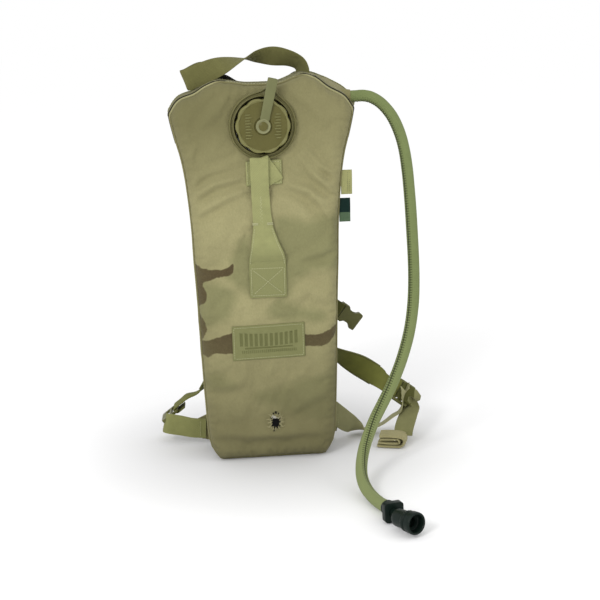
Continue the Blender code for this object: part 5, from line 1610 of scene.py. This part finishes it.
def add_valve(looks):
    axis = (VALVE_BEND - VALVE_START).normalized()
    reach = (VALVE_BEND - VALVE_START).length
    socket = frame_matrix(VALVE_START, (0, 0, 1), axis)
    body = lathe("valve_socket_turned", (
        (0.0, 0.0), (0.008, 0.0), (0.0085, 0.001), (0.0087, 0.003), (0.0083, 0.0036), (0.0083, 0.0046),
        (0.0087, 0.0052), (0.0086, 0.0072), (0.0081, 0.0078), (0.0081, 0.0088), (0.0084, 0.0094),
        (0.0082, 0.0117), (0.005, 0.0117), (0.005, reach - 0.008), (0.0, reach - 0.008)), socket,
                 looks["valve"], 48)
    finish_piece(body, "pack", "valve_plastic", "valve_socket")
    collar = refined("shutoff_collar", looks["valve"], 0.0009, "valve_plastic", 3)
    outlet = (OUTLET_MOUTH - VALVE_BEND).normalized()
    length = (OUTLET_MOUTH - VALVE_BEND).length
    matrix = frame_matrix(VALVE_BEND, (0, 0, 1), outlet)
    cup = length - 0.0095

    def ridged(angle, radius, height):
        if cup - 0.0056 < height < cup - 0.0018 and radius > 0.0105:
            return radius + 0.00035 * math.sin(angle * 26)
        return radius

    elbow = lathe("valve_outlet_turned", (
        (0.0, -0.0095), (0.007, -0.0093), (0.0086, -0.0076), (0.0097, -0.0058), (0.0099, -0.002),
        (0.0099, 0.003), (0.0102, cup - 0.0066), (0.011, cup - 0.006), (0.0113, cup - 0.0054),
        (0.0113, cup - 0.0022), (0.0109, cup - 0.0016), (0.0102, cup - 0.001), (0.0102, cup + 0.0002),
        (0.0116, cup + 0.001), (0.0122, cup + 0.0016), (0.0123, length - 0.0018), (0.0121, length - 0.0006),
        (0.0116, length), (0.0104, length), (0.0098, length - 0.0006), (0.0096, length - 0.0016),
        (0.0095, cup + 0.0006), (0.0088, cup), (0.0062, cup), (0.006, cup - 0.0008), (0.0059, 0.01),
        (0.0, 0.0098)), matrix, looks["valve"], 78, ridged)
    finish_piece(elbow, "outlet", "valve_plastic", "valve_elbow")
    return [body, collar, elbow]


# ---- the torn hole ----

def add_tear(looks):
    """Frayed yarns round the hole, wadding pulled out at its top, and small dark nicks above it."""
    def on(x, z, off):
        return Vector((TEAR.x + x, front_y(TEAR.x + x, TEAR.z + z) - off, TEAR.z + z))

    form = bmesh.new()
    for k in range(64):
        angle = 2 * math.pi * k / 64 + 0.08 * math.sin(k * 12.9)
        inner = 0.0066 + 0.0014 * math.sin(k * 7.3)
        outer = inner + 0.003 + 0.003 * abs(math.sin(k * 3.7))
        inner *= 0.7 + 0.38 * abs(math.sin(angle))
        outer *= 0.78 + 0.32 * abs(math.sin(angle))
        twist = 0.3 * math.sin(k * 5.1)
        path = []
        for step in range(5):
            t = step / 4
            r = inner + (outer - inner) * t
            a = angle + twist * t * t
            off = 0.0006 + 0.0016 * math.sin(math.pi * t) * abs(math.sin(k * 2.3)) + 0.0002
            path.append(on(r * math.cos(a), r * math.sin(a), off))
        add_tube(form, path, 0.0002, 4, [0.00016, 0.00024, 0.00026, 0.00022, 0.0001])
    finish_piece(made("tear_fray", form, looks["fray"], 80), "pack", "tan_cloth")
    form = bmesh.new()
    for k in range(26):
        x = -0.004 + 0.0062 * ((k * 0.618) % 1.0)
        z = 0.0064 + 0.0022 * ((k * 0.381) % 1.0)
        path = []
        for step in range(6):
            t = step / 5
            path.append(on(x + 0.0022 * math.sin(k + 2.4 * t),
                           z + 0.003 * (t - 0.5) + 0.0008 * math.sin(k * 2.1 + 5 * t),
                           -0.0004 + 0.0012 * math.sin(math.pi * t)))
        add_tube(form, path, 0.0003, 5, [0.0002, 0.00034, 0.0004, 0.0004, 0.0003, 0.00015])
    finish_piece(made("tear_wadding", form, looks["wadding"], 80), "pack", "tan_cloth")
    nicks = []
    for x, z, r in ((0.0005, 0.0134, 0.0017), (-0.0026, 0.0122, 0.0011), (0.0032, 0.0118, 0.001)):
        middle = on(x, z, 0.001)
        matrix = frame_matrix(middle, (1, 0, 0), (0, -1, 0))
        nicks.append(lathe("nick", ((r, -0.0008), (r, 0.0002), (r * 0.8, 0.0004), (0.0, 0.0002)),
                           matrix, looks["dark"], 12,
                           lambda a, radius, h: radius * (1 + 0.25 * math.sin(3 * a))))
    finish_piece(joined("tear_nicks", nicks), "pack", "tan_cloth")
    # Painted shade: a black sheet behind the hole stands for the shade inside it.
    back = grid("tear_shadow", 6, 6, lambda u, v: on(-0.01 + 0.02 * u, -0.012 + 0.024 * v, -0.0016),
                looks["dark"])
    finish_piece(thicken(back, 0.0003), "pack", "foam")


def label_look(name, base, other=None, split=0.0):
    look = Look(name, 0.8, 0.0, 0.08)
    across, along, _ = look.parts(look.uv())
    weave = look.times(look.wave(across, 0.0008), look.wave(along, 0.0008))
    colour = look.tint(base, shade(base, 1.8, 0.004), look.plus(weave, 1.0), 0.12)
    if other:
        low = look.flip(look.ramp(along, split - 0.0003, split + 0.0003))
        colour = look.mix(low, colour, other)
    spots = look.noise(look.place(), 300, 3)
    look.colour(look.tint(colour, shade(base, 0.6), spots, 0.35))
    look.bump(weave, 0.00012, 0.8)
    return look.material


def patch_look(name):
    look = Look(name, 0.85, 0.06, 0.08)
    across, along, _ = look.parts(look.uv())
    weave = look.times(look.wave(across, 0.001), look.wave(along, 0.001))
    mark = look.ramp(look.attribute("mark"), 0.35, 0.65)
    place = look.place()
    base = look.mix(look.noise(place, 120, 4, 0.6), (0.205, 0.21, 0.09), (0.16, 0.164, 0.066))
    colour = look.tint(base, (0.09, 0.096, 0.031), mark, 0.7)
    colour = look.tint(colour, (0.36, 0.36, 0.18), look.plus(weave, 1.0), 0.07)
    look.colour(colour)
    look.bump(weave, 0.00016, 0.8)
    look.bump(look.noise(place, 700, 2), 0.0003, 0.4)
    return look.material


def make_looks():
    return {
        "front": cloth_look("printed_cloth", camo=True),
        "side": cloth_look("printed_cloth_side", camo=True),
        "plain": cloth_look("plain_cloth", base=(0.205, 0.192, 0.086), painted_shade=False),
        "piping": cloth_look("piping_cloth", base=(0.34, 0.325, 0.17), painted_shade=False, shoulder=True),
        "thread": thread_look("pale_thread"),
        "thread_dark": thread_look("dark_thread", (0.04, 0.04, 0.025)),
        "fray": thread_look("frayed_yarn", (0.4, 0.37, 0.2)),
        "wadding": thread_look("white_wadding", (0.62, 0.61, 0.57)),
        "mesh": mesh_look("spacer_mesh"),
        # Dark: painted shade in the shoulder seams' grooves.
        "groove": thread_look("seam_groove_shade", (0.035, 0.034, 0.016)),
        "foam": foam_look("dark_foam", (0.02, 0.02, 0.022)),
        "film": film_look("clear_film"),
        "webbing": webbing_look("webbing_tan", darker_below=0.245),
        "tail": webbing_look("webbing_tail", (0.205, 0.203, 0.088)),
        # Dark webbing; on the hump inside lock R it is painted shade.
        "tail_dark": webbing_look("webbing_tail_dark", (0.075, 0.077, 0.02)),
        "handle": webbing_look("webbing_handle", (0.145, 0.14, 0.05)),
        "web_dark": webbing_look("webbing_olive", WEB_DARK),
        "web_left": webbing_look("webbing_yellow", (0.215, 0.22, 0.082)),
        "bundle": webbing_look("webbing_brown", (0.33, 0.3, 0.15)),
        "strap": webbing_look("strap_olive", STRAP, 0.0014, 0.12),
        "binding": webbing_look("strap_binding", (0.11, 0.113, 0.034), 0.0016, 0.2),
        "patch": patch_look("woven_patch"),
        "cap": plastic_look("cap_plastic_olive", (0.088, 0.08, 0.02), 0.42, 0.3),
        # A paler copy of the cap's plastic: painted highlight on its rim and ribs.
        "cap_rim": plastic_look("cap_rim_painted_highlight", (0.155, 0.148, 0.054), 0.42, 0.3),
        "collar": plastic_look("collar_plastic_olive", (0.12, 0.112, 0.044), 0.5, 0.4),
        "gasket": plastic_look("gasket_grey", (0.5, 0.5, 0.48), 0.6, 0.1),
        "rubber": plastic_look("tether_rubber", (0.128, 0.132, 0.056), 0.6, 0.35),
        # A paler copy of the tether rubber: painted highlight on the eye.
        "rubber_highlight": plastic_look("tether_eye_painted_highlight", (0.2, 0.2, 0.1), 0.5, 0.35),
        "buckle": plastic_look("buckle_olive", (0.098, 0.098, 0.03), 0.42, 0.35),
        "valve": plastic_look("valve_dark", (0.005, 0.011, 0.008), 0.34, 0.3, 0.13),
        # Near black: painted shade behind the torn hole, and the small nicks.
        "dark": foam_look("black_shade_and_nicks", (0.001, 0.001, 0.001)),
        "hose": hose_look("hose_knit"),
        "label_tan": label_look("label_tan_woven", (0.3, 0.3, 0.13)),
        "label_dark": label_look("label_dark_woven", (0.007, 0.021, 0.017), (0.09, 0.142, 0.079), 0.0115),
    }


def build():
    looks = make_looks()
    add_camera()
    add_stage()
    add_hose(looks)
    add_front(looks)
    add_gusset(looks)
    add_back(looks)
    add_inside(looks)
    add_port(looks)
    add_front_pieces(looks)
    add_labels(looks)
    add_handle(looks)
    add_harness(looks)
    add_tear(looks)


build()
